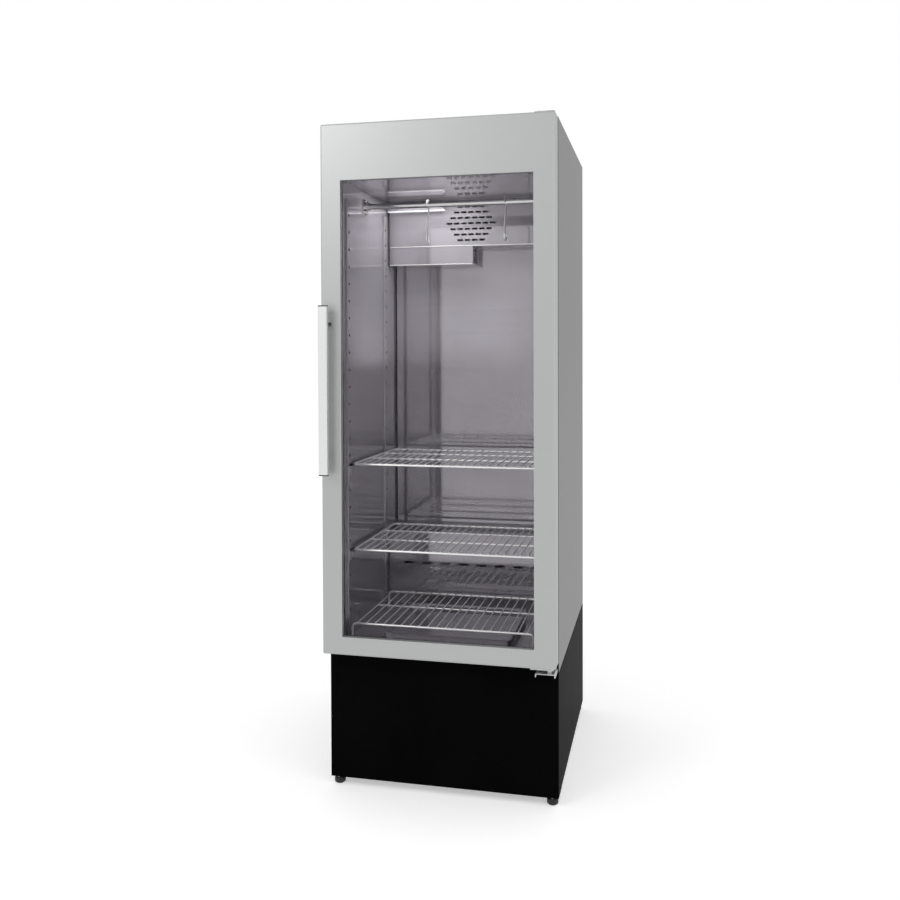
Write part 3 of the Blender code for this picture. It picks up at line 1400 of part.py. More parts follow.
def make_base():
    """Black housing: wrapped front cover, side panels, vented rear, floor plate and feet."""
    top = BASE_TOP_Z
    low = FOOT_HEIGHT
    seam_y = BASE_FRONT_Y + COVER_RETURN
    outline = [
        (-SIDE_X, seam_y),
        (-SIDE_X, BASE_FRONT_Y),
        (SIDE_X, BASE_FRONT_Y),
        (SIDE_X, seam_y),
        (SIDE_X - BASE_SHEET, seam_y),
        (SIDE_X - BASE_SHEET, BASE_FRONT_Y + BASE_SHEET),
        (BASE_SHEET - SIDE_X, BASE_FRONT_Y + BASE_SHEET),
        (BASE_SHEET - SIDE_X, seam_y),
    ]
    cover = prism("base_front_cover", outline, 2, low, top)
    upstand = block(
        "upstand",
        (-SIDE_X, BASE_FRONT_Y, top - BASE_FLANGE),
        (SIDE_X, BASE_FRONT_Y + BASE_SHEET, DOOR_BOTTOM_Z - COVER_TOP_GAP),
    )
    give_finish(fuse(cover, upstand), "black paint")
    for side, sign in (("left", -1), ("right", 1)):
        outline = [
            (sign * SIDE_X, BASE_FLOOR_Z + GAP),
            (sign * SIDE_X, top),
            (sign * (SIDE_X - BASE_FLANGE), top),
            (sign * (SIDE_X - BASE_FLANGE), top - BASE_SHEET),
            (sign * (SIDE_X - BASE_SHEET), top - BASE_SHEET),
            (sign * (SIDE_X - BASE_SHEET), BASE_FLOOR_Z + BASE_SHEET + GAP),
            (sign * (SIDE_X - BASE_FLANGE), BASE_FLOOR_Z + BASE_SHEET + GAP),
            (sign * (SIDE_X - BASE_FLANGE), BASE_FLOOR_Z + GAP),
        ]
        prism(f"base_panel_{side}", outline, 1, seam_y + PANEL_SEAM, REAR_Y, "black paint")
    inside_x = SIDE_X - BASE_SHEET - GAP
    block(
        "base_floor_plate",
        (-inside_x, BASE_FRONT_Y + BASE_SHEET + GAP, low),
        (inside_x, REAR_Y, BASE_FLOOR_Z),
        "black paint",
    )
    rear = block(
        "base_rear_grille",
        (-inside_x, REAR_Y - BASE_SHEET, BASE_FLOOR_Z + BASE_SHEET + GAP + GAP),
        (inside_x, REAR_Y, top - BASE_SHEET - GAP),
    )
    inlet_z = BASE_FLOOR_Z + BOX_RISE + BOX_HEIGHT / 2
    vents = [
        (
            (x - VENT_LENGTH / 2, REAR_Y - BASE_SHEET - OVERRUN, z - VENT_HEIGHT / 2),
            (x + VENT_LENGTH / 2, REAR_Y + OVERRUN, z + VENT_HEIGHT / 2),
        )
        for x in spread(GRILLE_COLUMNS, VENT_COLUMN_PITCH)
        for z in [FOOT_HEIGHT + VENT_RISE + VENT_PITCH * line for line in range(GRILLE_LINES)]
        if not (x > 0 and abs(z - inlet_z) < INLET_HEIGHT + VENT_HEIGHT)
    ]
    inlet_hole = (
        (BOX_X - INLET_WIDTH / 2 - GAP, REAR_Y - BASE_SHEET - OVERRUN, inlet_z - INLET_HEIGHT / 2 - GAP),
        (BOX_X + INLET_WIDTH / 2 + GAP, REAR_Y + OVERRUN, inlet_z + INLET_HEIGHT / 2 + GAP),
    )
    give_finish(cut(rear, blocks("vent_cutter", vents + [inlet_hole])), "black paint")
    profile = [(0, 0)]
    profile += [(FOOT_RADIUS * share, FOOT_HEIGHT * rise) for share, rise in FOOT_PROFILE_SHARES]
    profile += [(FOOT_RADIUS * FOOT_STEM_SHARE, FOOT_HEIGHT - GAP), (0, FOOT_HEIGHT - GAP)]
    rows = {"front": BASE_FRONT_Y + FOOT_SETBACK, "rear": REAR_Y - FOOT_SETBACK}
    for row, y in rows.items():
        for side, sign in (("left", -1), ("right", 1)):
            place = (sign * (SIDE_X - FOOT_INSET), y, 0)
            turned(f"foot_{row}_{side}", profile, place, (0, 0, 1), FOOT_STEPS, "black plastic")


def make_machinery():
    """Compressor, condenser with its fan, control box and the pipe to the evaporator."""
    floor = BASE_FLOOR_Z + GAP
    centre_y = at_setback(COMPRESSOR_SETBACK)
    can_low = floor + COMPRESSOR_RISE
    radius = COMPRESSOR_RADIUS
    tall = COMPRESSOR_HEIGHT
    lower = [(radius * share, tall * rise) for share, rise in LOWER_SHELL_SHARES]
    upper = [(radius * share, tall * rise) for share, rise in UPPER_SHELL_SHARES]
    rim = [(radius + WELD_RIM, lower[-1][1]), (radius + WELD_RIM, upper[0][1])]
    profile = lower + rim + upper
    can = turned("compressor", profile, (COMPRESSOR_X, centre_y, can_low), (0, 0, 1), ROUND_STEPS)
    half = COMPRESSOR_FOOT / 2
    feet = [
        block(
            "rail",
            (COMPRESSOR_X - half, centre_y + side - COMPRESSOR_FOOT_WIDTH / 2, floor),
            (COMPRESSOR_X + half, centre_y + side + COMPRESSOR_FOOT_WIDTH / 2, can_low + FOOT_RAIL_RISE),
        )
        for side in (-radius * FOOT_RAIL_SPREAD_SHARE, radius * FOOT_RAIL_SPREAD_SHARE)
    ]
    stub_top = can_low + tall + STUB_HEIGHT
    stub = cylinder(
        "stub",
        PIPE_RADIUS + SHEET,
        (COMPRESSOR_X, centre_y, can_low + tall - STUB_HEIGHT),
        (COMPRESSOR_X, centre_y, stub_top),
        steps=PIPE_STEPS,
    )
    compressor = fuse(can, *feet, stub)
    give_finish(smooth(compressor), "black paint")

    rear = REAR_Y - CONDENSER_REAR_GAP
    left = CONDENSER_X - CONDENSER_WIDTH / 2
    low = (left, rear - CONDENSER_DEPTH, floor)
    high = (left + CONDENSER_WIDTH, rear, floor + CONDENSER_HEIGHT)
    finned_block("condenser", low, high, "fin aluminium")
    fan_z = floor + CONDENSER_HEIGHT / 2
    plate_y = low[1] - GAP - HEAVY_SHEET
    shroud = block(
        "condenser_fan_shroud",
        (left, plate_y, floor),
        (left + CONDENSER_WIDTH, low[1] - GAP, floor + CONDENSER_HEIGHT),
    )
    ring_radius = CONDENSER_FAN_RADIUS + SHROUD_RING_THICKNESS
    front = plate_y - SHROUD_DEPTH
    ring = cylinder("ring", ring_radius, (CONDENSER_X, front, fan_z), (CONDENSER_X, plate_y + SHEET, fan_z))
    mouth = cylinder(
        "mouth",
        CONDENSER_FAN_RADIUS + SHROUD_RING_THICKNESS / 2,
        (CONDENSER_X, front - OVERRUN, fan_z),
        (CONDENSER_X, low[1] + OVERRUN, fan_z),
    )
    shroud = cut(fuse(shroud, ring), mouth)
    centre = (CONDENSER_X, front + RUN_GAP, fan_z)
    fan_wheel(
        "condenser_fan", CONDENSER_FAN_RADIUS, FAN_HUB_RADIUS, centre, FAN_BLADES, "black plastic"
    )
    reach = CONDENSER_FAN_RADIUS + SHROUD_RING_THICKNESS * STRAP_HOLD_SHARE
    motor = fan_motor("motor", centre, reach, reach)
    give_finish(smooth(fuse(shroud, motor)), "black plastic")

    box_rear = REAR_Y - BASE_SHEET - GAP
    box_low = floor + BOX_RISE
    box = block(
        "electrical_box",
        (BOX_X - BOX_WIDTH / 2, box_rear - BOX_DEPTH, floor),
        (BOX_X + BOX_WIDTH / 2, box_rear, box_low + BOX_HEIGHT),
    )
    inlet_z = BASE_FLOOR_Z + BOX_RISE + BOX_HEIGHT / 2
    inlet_front = REAR_Y - INLET_PROUD
    inlet = block(
        "inlet",
        (BOX_X - INLET_WIDTH / 2, box_rear - INLET_DEPTH, inlet_z - INLET_HEIGHT / 2),
        (BOX_X + INLET_WIDTH / 2, inlet_front + INLET_PROUD, inlet_z + INLET_HEIGHT / 2),
    )
    half_width = INLET_WIDTH / 2 - INLET_WALL
    half_height = INLET_HEIGHT / 2 - INLET_WALL
    socket = block(
        "socket",
        (BOX_X - half_width, REAR_Y - INLET_DEPTH, inlet_z - half_height),
        (BOX_X + half_width, REAR_Y + OVERRUN, inlet_z + half_height),
    )
    box = cut(fuse(box, inlet), socket)
    give_finish(box, "black plastic")

    coil_bottom = CEILING_Z - COIL_DROP - COIL_HEIGHT - GAP
    turn_z = BASE_TOP_Z - PIPE_TURN_DROP
    suction = [
        (COMPRESSOR_X, centre_y, stub_top + GAP),
        (COMPRESSOR_X, centre_y, turn_z),
        (PIPE_X, PIPE_Y, turn_z),
        (PIPE_X, PIPE_Y, coil_bottom),
    ]
    rod("suction_pipe", [rounded_route(suction, PIPE_BEND)], PIPE_RADIUS, ROD_SIDES, finish="copper")


def main():
    clear_scene()
    make_casing()
    make_air_system()
    make_evaporator()
    make_lamp()
    make_uprights()
    make_shelves()
    make_bottom_grate()
    make_drip_tray()
    make_bar_and_hooks()
    skin, foam = make_door()
    handle_top = make_handle()
    skin, foam = make_lock(skin, foam, handle_top)
    make_hinges(skin, foam)
    make_base()
    make_machinery()


main()
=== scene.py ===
# %% [markdown]
# # A dry aging cabinet
# This lesson dresses a finished set of solids: an upright cabinet of brushed steel on a black base,
# with a glass door, wire shelves, a hanging bar and two hooks. The solids already have their sizes and
# their joints, so nothing here moves or reshapes them. The lesson gives each one a finish made of shader
# nodes, models the bent rods and the punched sheets again with more care, and sets up light and camera.

# %% Load the solids
import math

import bmesh
import bpy
from mathutils import Matrix, Vector


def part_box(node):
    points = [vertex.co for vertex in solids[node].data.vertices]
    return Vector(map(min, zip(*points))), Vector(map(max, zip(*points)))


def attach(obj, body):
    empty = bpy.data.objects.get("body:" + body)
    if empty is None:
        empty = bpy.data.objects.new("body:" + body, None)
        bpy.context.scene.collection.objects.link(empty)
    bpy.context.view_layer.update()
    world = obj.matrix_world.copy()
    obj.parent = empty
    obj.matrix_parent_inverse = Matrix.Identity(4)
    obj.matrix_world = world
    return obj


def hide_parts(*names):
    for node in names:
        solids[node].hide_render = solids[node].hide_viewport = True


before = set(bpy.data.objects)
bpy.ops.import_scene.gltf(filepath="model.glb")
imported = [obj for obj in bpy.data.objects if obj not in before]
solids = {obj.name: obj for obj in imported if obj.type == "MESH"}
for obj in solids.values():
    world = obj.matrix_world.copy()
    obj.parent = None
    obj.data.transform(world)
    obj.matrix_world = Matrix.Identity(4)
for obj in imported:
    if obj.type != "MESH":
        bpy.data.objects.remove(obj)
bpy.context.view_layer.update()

# %% [markdown]
# ## Shader maths in plain Python
# A finish is a small sum: roughness is a base value plus some grain plus some smudges. Wiring such sums
# by hand takes many Math nodes and hides the idea. The class below wraps one shader socket, so that the
# sum can be written as Python and the Math nodes appear by themselves. `Finish` holds one material. Its
# method `node` makes any other node: its settings go in first, then the values or links of its sockets.
# Every finish reads Object coordinates, so its grain has the same scale on each piece.

# %% Wrap a socket and a material


class Reading:
    """One output of a shader node, on which + * and ** work."""

    def __init__(self, tree, socket):
        self.tree = tree
        self.socket = socket

    def maths(self, operation, other):
        made = self.tree.nodes.new("ShaderNodeMath")
        made.operation = operation
        self.tree.links.new(self.socket, made.inputs[0])
        if isinstance(other, Reading):
            self.tree.links.new(other.socket, made.inputs[1])
        else:
            made.inputs[1].default_value = other
        return Reading(self.tree, made.outputs[0])

    def __add__(self, other):
        return self.maths("ADD", other)

    __radd__ = __add__  # sum() starts from 0, so it needs the reflected form too

    def __mul__(self, other):
        return self.maths("MULTIPLY", other)

    __rmul__ = __mul__

    def __pow__(self, other):
        return self.maths("POWER", other)


class Finish:
    """A material with one Principled shader, whose plain sockets are set from a table."""

    def __init__(self, name, fixed):
        self.material = bpy.data.materials.new(name)
        self.material.use_nodes = True
        self.tree = self.material.node_tree
        self.shader = self.tree.nodes["Principled BSDF"]
        for socket, value in fixed.items():
            self.shader.inputs[socket].default_value = value

    def node(self, kind, settings, values, outlet=0):
        made = self.tree.nodes.new(kind)
        for setting, value in settings.items():
            setattr(made, setting, value)
        for socket, value in values.items():
            if isinstance(value, Reading):
                self.tree.links.new(value.socket, made.inputs[socket])
            else:
                made.inputs[socket].default_value = value
        return Reading(self.tree, made.outputs[outlet])

    def feed(self, socket, reading):
        self.tree.links.new(reading.socket, self.shader.inputs[socket])

    def place(self):
        return self.node("ShaderNodeTexCoord", {}, {}, "Object")

    def noise(self, swells, detail=3.0, roughness=0.5):
        """Noise with so many swells to the metre: one number, or one for each axis."""
        scales = swells if isinstance(swells, tuple) else (swells, swells, swells)
        mapped = self.node("ShaderNodeMapping", {}, {"Vector": self.place(), "Scale": scales})
        values = {"Vector": mapped, "Scale": 1.0, "Detail": detail, "Roughness": roughness}
        return self.node("ShaderNodeTexNoise", {}, values)

    def mix(self, share, first, second):
        """A colour between two colours."""
        return self.node("ShaderNodeMix", {"data_type": "RGBA"}, {0: share, 6: first, 7: second}, 2)

    def colour(self, share, first, second):
        self.feed("Base Color", self.mix(share, first, second))

    def bump(self, height, distance, strength=1.0):
        values = {"Height": height, "Distance": distance, "Strength": strength}
        self.feed("Normal", self.node("ShaderNodeBump", {}, values))


def grey(level, tint=(1.0, 1.0, 1.0)):
    """A nearly grey colour with its alpha."""
    return tuple(level * share for share in tint) + (1.0,)


def dress(finish, *names):
    """Gives solids a finish through their material slots."""
    for name in names:
        for slot in solids[name].material_slots:
            slot.material = finish.material


print("shader helpers ready")

# %% [markdown]
# ## Brushed steel
# The door and the casing are stainless sheet with a long horizontal brush grain. Grain is noise that is
# stretched: a few swells to the metre along the brush, thousands across it. One noise drives colour,
# roughness and bump together, because on real sheet they are the same scratches. A second, slow noise
# gives the cloudy patches that handling leaves. The grain runs along X on the front and along Y on the
# sides, so both directions have the same small scale up the Z axis. The casing gets a darker copy of the
# same steel, which also reflects less at a grazing angle: that darker casing is painted shade.

# %% Brushed steel for door, casing and handle


def brushed(name, level, tint, rough, depth=0.00006, edge=1.0, metallic=1.0):
    """Brushed metal. The edge value dims what the sheet reflects at a grazing angle."""
    finish = Finish(name, {"Metallic": metallic, "Specular Tint": grey(edge)})
    fine = finish.noise((6.0, 6.0, 2400.0), 2.0, 0.6)
    streak = finish.noise((1.6, 1.6, 240.0), 3.0, 0.7)
    cloud = finish.noise((2.2, 2.2, 1.6), 3.0, 0.5)
    grain = fine * 0.6 + streak * 0.4
    shade = grain * 0.7 + cloud * 0.3
    finish.colour(shade, grey(level * 0.93, tint), grey(level * 1.07, tint))
    finish.feed("Roughness", rough - 0.05 + grain * 0.07 + cloud * 0.03)
    finish.bump(grain, depth, 0.35)
    return finish


door_tint = (0.985, 1.0, 0.995)
side_tint = (1.0, 1.0, 1.01)
handle_tint = (1.0, 1.0, 1.005)
door_steel = brushed("brushed steel of the door", 0.45, door_tint, 0.44, edge=0.85, metallic=0.75)
# the casing is a darker copy of the door's steel that also dims its grazing reflection more: painted shade
# on the sides
casing_steel_painted_dark = brushed("brushed steel of the casing, darkened as painted shade", 0.32, side_tint, 0.38, edge=0.58)
handle_steel = brushed("satin steel of the handle", 0.74, handle_tint, 0.32, 0.00004, metallic=0.8)
dress(door_steel, "door_skin")
dress(casing_steel_painted_dark, "outer_wrap")
dress(handle_steel, "handle_bar")
print("brushed steel on the door, the casing and the handle")

# %% [markdown]
# ## Polished steel inside
# The liner and the false back wall are polished far more than the outside, so they show soft images of
# the shelves and of each other. Fine brushing under the polish lays a haze over those images: about half
# of the finish is therefore a plain diffuse grey and only the rest a mirror. Wiping leaves faint clouds,
# which slow noise in the roughness gives, and a very low bump bends the images a little.

# %% Polished steel of the liner
liner_steel = Finish("polished steel of the liner", {"Metallic": 0.52})
wipe = liner_steel.noise((5.0, 5.0, 9.0), 4.0, 0.6)
brush_line = liner_steel.noise((2.2, 2.2, 130.0), 3.0, 0.6)
ripple = liner_steel.noise((2.6, 2.6, 1.7), 1.0, 0.4)
purple_grey = (1.0, 0.945, 1.04)
liner_shade = wipe * 0.5 + brush_line * 0.5
liner_steel.colour(liner_shade, grey(0.24, purple_grey), grey(0.40, purple_grey))
liner_steel.feed("Roughness", 0.03 + wipe * 0.04 + brush_line * 0.04)
liner_steel.bump(ripple + brush_line * 0.02, 0.0010, 0.25)
SIDES = ("left", "right")
ROWS = ("front", "rear")
CORNERS = [f"{row}_{side}" for row in ROWS for side in SIDES]
dress(liner_steel, "inner_liner", "air_duct_panel", "return_air_box", "evaporator_cover")
dress(liner_steel, "evaporator_duct", "door_liner", "drip_tray", "lamp_housing")
dress(liner_steel, *[f"upright_{corner}" for corner in CORNERS])
print("polished steel inside")

# %% [markdown]
# ## Bright wire and rod
# Shelves, grate, hooks and bar are drawn stainless rod. Electro-polishing leaves it almost a mirror, with
# fine marks round the rod. Small even noise in roughness is enough at this thickness.

# %% Bright rod
bright_rod = Finish("electro-polished rod", {"Metallic": 0.65})
rod_mark = bright_rod.noise(420.0, 2.0, 0.5)
bright_rod.colour(rod_mark, grey(0.82), grey(0.92))
bright_rod.feed("Roughness", 0.18 + rod_mark * 0.14)
dress(bright_rod, "upper_shelf", "lower_shelf", "bottom_grate", "hook_left", "hook_right")

tube_steel = Finish("polished tube and angle", {"Metallic": 1.0})
tube_mark = tube_steel.noise((8.0, 300.0, 300.0), 2.0, 0.5)
tube_steel.colour(tube_mark, grey(0.50), grey(0.62))
tube_steel.feed("Roughness", 0.12 + tube_mark * 0.12)
dress(tube_steel, "hanging_bar")
for side in SIDES:
    dress(tube_steel, f"bar_bracket_{side}", f"runner_upper_{side}", f"runner_lower_{side}")
print("bright rod, tube and angle")

# %% [markdown]
# ## Zinc, black paint, plastic and rubber
# The parts that are seldom seen still have their own skins. Zinc plate shows its flat crystals, so a
# Voronoi pattern gives each cell its own grey and gloss. Powder coat is black with the faint dimples
# called orange peel. Moulded plastic has a finer, drier grain, and rubber is matt with a little dust.

# %% Finishes of the lesser parts
zinc = Finish("zinc plate", {"Metallic": 0.85})
crystal = zinc.node("ShaderNodeTexVoronoi", {}, {"Vector": zinc.place(), "Scale": 70.0}, "Color")
zinc_cloud = zinc.noise(9.0, 3.0)
zinc.colour(crystal * 0.6 + zinc_cloud * 0.4, grey(0.34), grey(0.62))
zinc.feed("Roughness", 0.30 + crystal * 0.16 + zinc_cloud * 0.1)
zinc.bump(zinc_cloud, 0.0001, 0.3)
dress(zinc, "hinge_bracket_top", "hinge_bracket_bottom", "door_hinge_plate", "rear_panel")

powder_coat = Finish("black powder coat", {"Specular IOR Level": 0.002})
peel = powder_coat.noise(900.0, 2.0)
dust = powder_coat.noise((5.0, 5.0, 4.0), 4.0, 0.6)
powder_coat.colour(dust, grey(0.0018), grey(0.0045, (1.08, 1.0, 1.05)))
powder_coat.feed("Roughness", 0.30 + peel * 0.08 + dust * 0.06)
powder_coat.bump(peel, 0.00004, 0.5)
dress(powder_coat, "base_front_cover", "base_panel_left", "base_panel_right", "base_rear_grille")
dress(powder_coat, "base_floor_plate", "bottom_panel", "compressor")

black_plastic = Finish("black moulded plastic", {"Specular IOR Level": 0.4})
pebble = black_plastic.noise(1500.0, 2.0)
wear = black_plastic.noise(30.0, 3.0)
black_plastic.colour(wear, grey(0.006), grey(0.016))
black_plastic.feed("Roughness", 0.42 + pebble * 0.16)
black_plastic.bump(pebble, 0.00005, 0.5)
dress(black_plastic, "handle_cap_top", "handle_cap_bottom", "electrical_box")
dress(black_plastic, "evaporator_fan", "evaporator_fan_motor", "condenser_fan", "condenser_fan_shroud")
dress(black_plastic, *[f"foot_{corner}" for corner in CORNERS])

grey_rubber = Finish("grey seal rubber", {"Specular IOR Level": 0.3})
rubber_dust = grey_rubber.noise(60.0, 4.0, 0.7)
grey_rubber.colour(rubber_dust, grey(0.035), grey(0.075))
grey_rubber.feed("Roughness", 0.66 + rubber_dust * 0.2)
grey_rubber.bump(rubber_dust, 0.0001, 0.4)
dress(grey_rubber, "door_gasket")
print("zinc, paint, plastic and rubber")

# %% [markdown]
# ## Foam, copper, aluminium, lock and lamp
# Foam is pale yellow with small cells. Copper has darker, rougher patches where it was heated. The fins of
# the two coils are thin aluminium, and so is the bar that holds the two panes apart, which shows as a pale
# line at the window's edge. The lamp has a frosted cover that glows evenly. The lock's plug is plain dark
# metal with turning marks.

# %% Finishes of what is hidden or small
foam = Finish("insulating foam", {"Specular IOR Level": 0.2})
cell = foam.node("ShaderNodeTexVoronoi", {}, {"Vector": foam.place(), "Scale": 700.0}, "Distance")
foam_cloud = foam.noise(12.0, 3.0)
foam.colour(foam_cloud, (0.62, 0.52, 0.28, 1.0), (0.78, 0.70, 0.46, 1.0))
foam.feed("Roughness", 0.85 + cell * 0.1)
foam.bump(cell, 0.0003, 0.6)
dress(foam, "insulation", "door_insulation")

copper = Finish("copper tube", {"Metallic": 1.0})
heat = copper.noise(45.0, 4.0, 0.6)
copper.colour(heat, (0.66, 0.30, 0.17, 1.0), (0.34, 0.15, 0.09, 1.0))
copper.feed("Roughness", 0.24 + heat * 0.24)
dress(copper, "suction_pipe")

fin_metal = Finish("aluminium fins", {"Metallic": 0.9})
fin_line = fin_metal.noise((900.0, 12.0, 12.0), 2.0)
fin_metal.colour(fin_line, grey(0.45), grey(0.68))
fin_metal.feed("Roughness", 0.36 + fin_line * 0.14)
dress(fin_metal, "evaporator_coil", "condenser")

spacer_metal = Finish("aluminium between the panes", {"Metallic": 0.5})
spacer_mark = spacer_metal.noise(60.0, 3.0)
spacer_metal.colour(spacer_mark, grey(0.60), grey(0.74))
spacer_metal.feed("Roughness", 0.32 + spacer_mark * 0.14)
dress(spacer_metal, "glazing_spacer")

lock_metal = Finish("turned metal of the lock", {"Metallic": 0.9})
turning = lock_metal.noise((2000.0, 300.0, 2000.0), 2.0)
lock_metal.colour(turning, grey(0.10), grey(0.16))
lock_metal.feed("Roughness", 0.35 + turning * 0.1)
dress(lock_metal, "lock_plug")

lamp_cover = Finish("glowing lamp cover", {"Roughness": 0.5, "Emission Strength": 0.5})
frost = lamp_cover.noise(160.0, 3.0)
lamp_cover.colour(frost, grey(0.78), grey(0.90))
lamp_cover.feed("Emission Color", lamp_cover.mix(frost, (0.86, 0.88, 0.96, 1.0), (0.98, 0.97, 1.0, 1.0)))
dress(lamp_cover, "lamp_lens")
print("foam, copper, aluminium, lock and lamp")

# %% [markdown]
# ## Window glass
# Each pane is clear float glass with a coating against reflections, as on most shop refrigerators. Glass
# can be made by refraction, but two parallel panes bend no image: they only let it through and lay a thin
# reflection over it. So the pane is a mirror with a very low alpha. The alpha rises towards grazing
# angles, as on real glass, and a slow noise stands for the traces that wiping leaves.

# %% Clear panes
pane_glass = Finish("clear pane", {"Metallic": 1.0, "Roughness": 0.0})
smear = pane_glass.noise((7.0, 7.0, 4.0), 4.0, 0.6)
facing = pane_glass.node("ShaderNodeLayerWeight", {}, {"Blend": 0.5}, "Facing")
pane_glass.colour(smear, (0.90, 0.95, 0.93, 1.0), (0.97, 0.99, 0.98, 1.0))
pane_glass.feed("Alpha", smear ** 2 * 0.008 + facing ** 4 * 0.5)
dress(pane_glass, "glass_outer", "glass_inner")
print("two panes of clear glass")

# %% [markdown]
# ## Modelling by operators
# Every new piece starts as one primitive at its own size and place. It is then shaped in edit mode, as a
# modeller would do by hand, and its faces are picked by where they are or which way they look. The
# helpers below hold the steps that all pieces share: begin, pick, close up, and fit to a body. A piece
# that repeats is modelled once at the origin, looking up, and `seat` puts copies where they belong.

# %% Helpers for the pieces
UP = (0.0, 0.0, 1.0)
DOWN = (0.0, 0.0, -1.0)
FORWARD = (0.0, -1.0, 0.0)
BACKWARD = (0.0, 1.0, 0.0)
TO_RIGHT = (1.0, 0.0, 0.0)
INWARD = (("left", 1.0), ("right", -1.0))  # the way along X that leads inwards
DOUBLES = 0.00001


def begin(add, **values):
    """Adds one primitive, alone in the selection, and opens it for editing."""
    bpy.ops.object.select_all(action="DESELECT")
    add(**values)
    piece = bpy.context.object
    bpy.ops.object.transform_apply(location=True, rotation=True, scale=True)
    bpy.ops.object.mode_set(mode="EDIT")
    bpy.ops.mesh.select_mode(type="FACE")
    bpy.ops.mesh.select_all(action="SELECT")
    return piece


def block(low, high):
    """A cube that fills a box, open for editing."""
    size = high - low
    return begin(bpy.ops.mesh.primitive_cube_add, size=1.0, location=(low + high) / 2, scale=size)


def pick(piece, test):
    """Selects the faces whose centre and normal pass a test."""
    bpy.ops.mesh.select_all(action="DESELECT")
    mesh_tool = bmesh.from_edit_mesh(piece.data)
    for face in mesh_tool.faces:
        if test(face.calc_center_median(), face.normal):
            face.select_set(True)
    bmesh.update_edit_mesh(piece.data)


def extrude(shift, scale=1.0, centre=None):
    """Extrudes the selected faces along a shift and scales their new end about a point."""
    bpy.ops.mesh.extrude_region_move(TRANSFORM_OT_translate={"value": shift})
    if centre is not None:
        bpy.ops.transform.resize(value=(scale, scale, scale), center_override=centre)


def close_up(piece, angle=35):
    """Merges doubles, turns faces outward and goes back to object mode with smooth shading."""
    bpy.ops.mesh.select_all(action="SELECT")
    bpy.ops.mesh.remove_doubles(threshold=DOUBLES)
    bpy.ops.mesh.normals_make_consistent(inside=False)
    bpy.ops.object.mode_set(mode="OBJECT")
    bpy.ops.object.shade_smooth_by_angle(angle=math.radians(angle))
    return piece


def apply_modifier(piece, kind, **settings):
    bpy.context.view_layer.objects.active = piece
    modifier = piece.modifiers.new(kind.lower(), kind)
    for setting, value in settings.items():
        setattr(modifier, setting, value)
    bpy.ops.object.modifier_apply(modifier=modifier.name)


def join(pieces):
    bpy.ops.object.select_all(action="DESELECT")
    for piece in pieces:
        piece.select_set(True)
    bpy.context.view_layer.objects.active = pieces[0]
    bpy.ops.object.join()
    return pieces[0]


def seat(model, places, out):
    """Copies of a model that looks up, each at its place and looking out, joined to one piece."""
    turn = Vector(out).to_track_quat("Z", "Y").to_matrix().to_4x4()
    copies = []
    for place in places:
        twin = model.copy()
        twin.data = model.data.copy()
        twin.data.transform(Matrix.Translation(place) @ turn)
        bpy.context.scene.collection.objects.link(twin)
        copies.append(twin)
    return join(copies)


def fit(piece, name, body, finish, slot, *nodes):
    """Names a finished piece, gives it finish and body, and hides the solids that it stands for."""
    piece.name = name
    piece.data.name = name
    piece.data.materials.clear()
    piece.data.materials.append(finish.material)
    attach(piece, body)
    if nodes:
        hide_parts(*nodes)
    triangles = sum(len(face.vertices) - 2 for face in piece.data.polygons)
    print(f"{name}: {triangles} triangles on {body}")


print("modelling helpers ready")

# %% [markdown]
# ## Bent rod
# Shelves, grate and hooks are all drawn rod that is cut, bent and welded. A rod can be a curve with a
# bevel, but here it is made as a bender makes it: a disc is extruded for each straight run and spun about
# the bend's centre for each bend. So every bend has its true radius, and the rod stays round in it. A
# closed ring loses its first and last disc, which lie on each other.

# %% Run and bend a rod
ROUND_ANGLE = 50  # edges of a rod's many sides below this angle are shaded round
POINT_SHARE = 0.22
WIRE_RADIUS = 0.002
WIRE_SIDES = 10
WIRE_ROUNDING = 0.0009
WIRE_PAST = 0.001  # how far a wire reaches past the middle of its rails


def bent_rod(radius, place, heading, moves, sides=14, bend_steps=8, closed=False, point=0.0):
    """A rod that follows moves such as ("run", length) or ("bend", axis, radius, degrees)."""
    place = Vector(place)
    heading = Vector(heading)
    start = place.copy()
    turn = heading.to_track_quat("Z", "Y").to_euler()
    circle = bpy.ops.mesh.primitive_circle_add
    rod = begin(circle, vertices=sides, radius=radius, fill_type="NGON", location=place, rotation=turn)
    for move in moves:
        if move[0] == "run":
            extrude(heading * move[1])
            place = place + heading * move[1]
        else:
            axis = Vector(move[1])
            centre = place + axis.cross(heading) * move[2]
            angle = math.radians(move[3])
            # the operator turns clockwise about its axis, and a rotation matrix turns the other way
            bpy.ops.mesh.spin(steps=bend_steps, angle=-angle, center=centre, axis=axis)
            swing = Matrix.Rotation(angle, 3, axis)
            place = centre + swing @ (place - centre)
            heading = swing @ heading
    if closed:
        pick(rod, lambda centre, normal: (centre - start).length < radius / 2)
        bpy.ops.mesh.delete(type="FACE")
    if point:
        extrude(heading * point, POINT_SHARE, place + heading * point)
    return close_up(rod, ROUND_ANGLE)


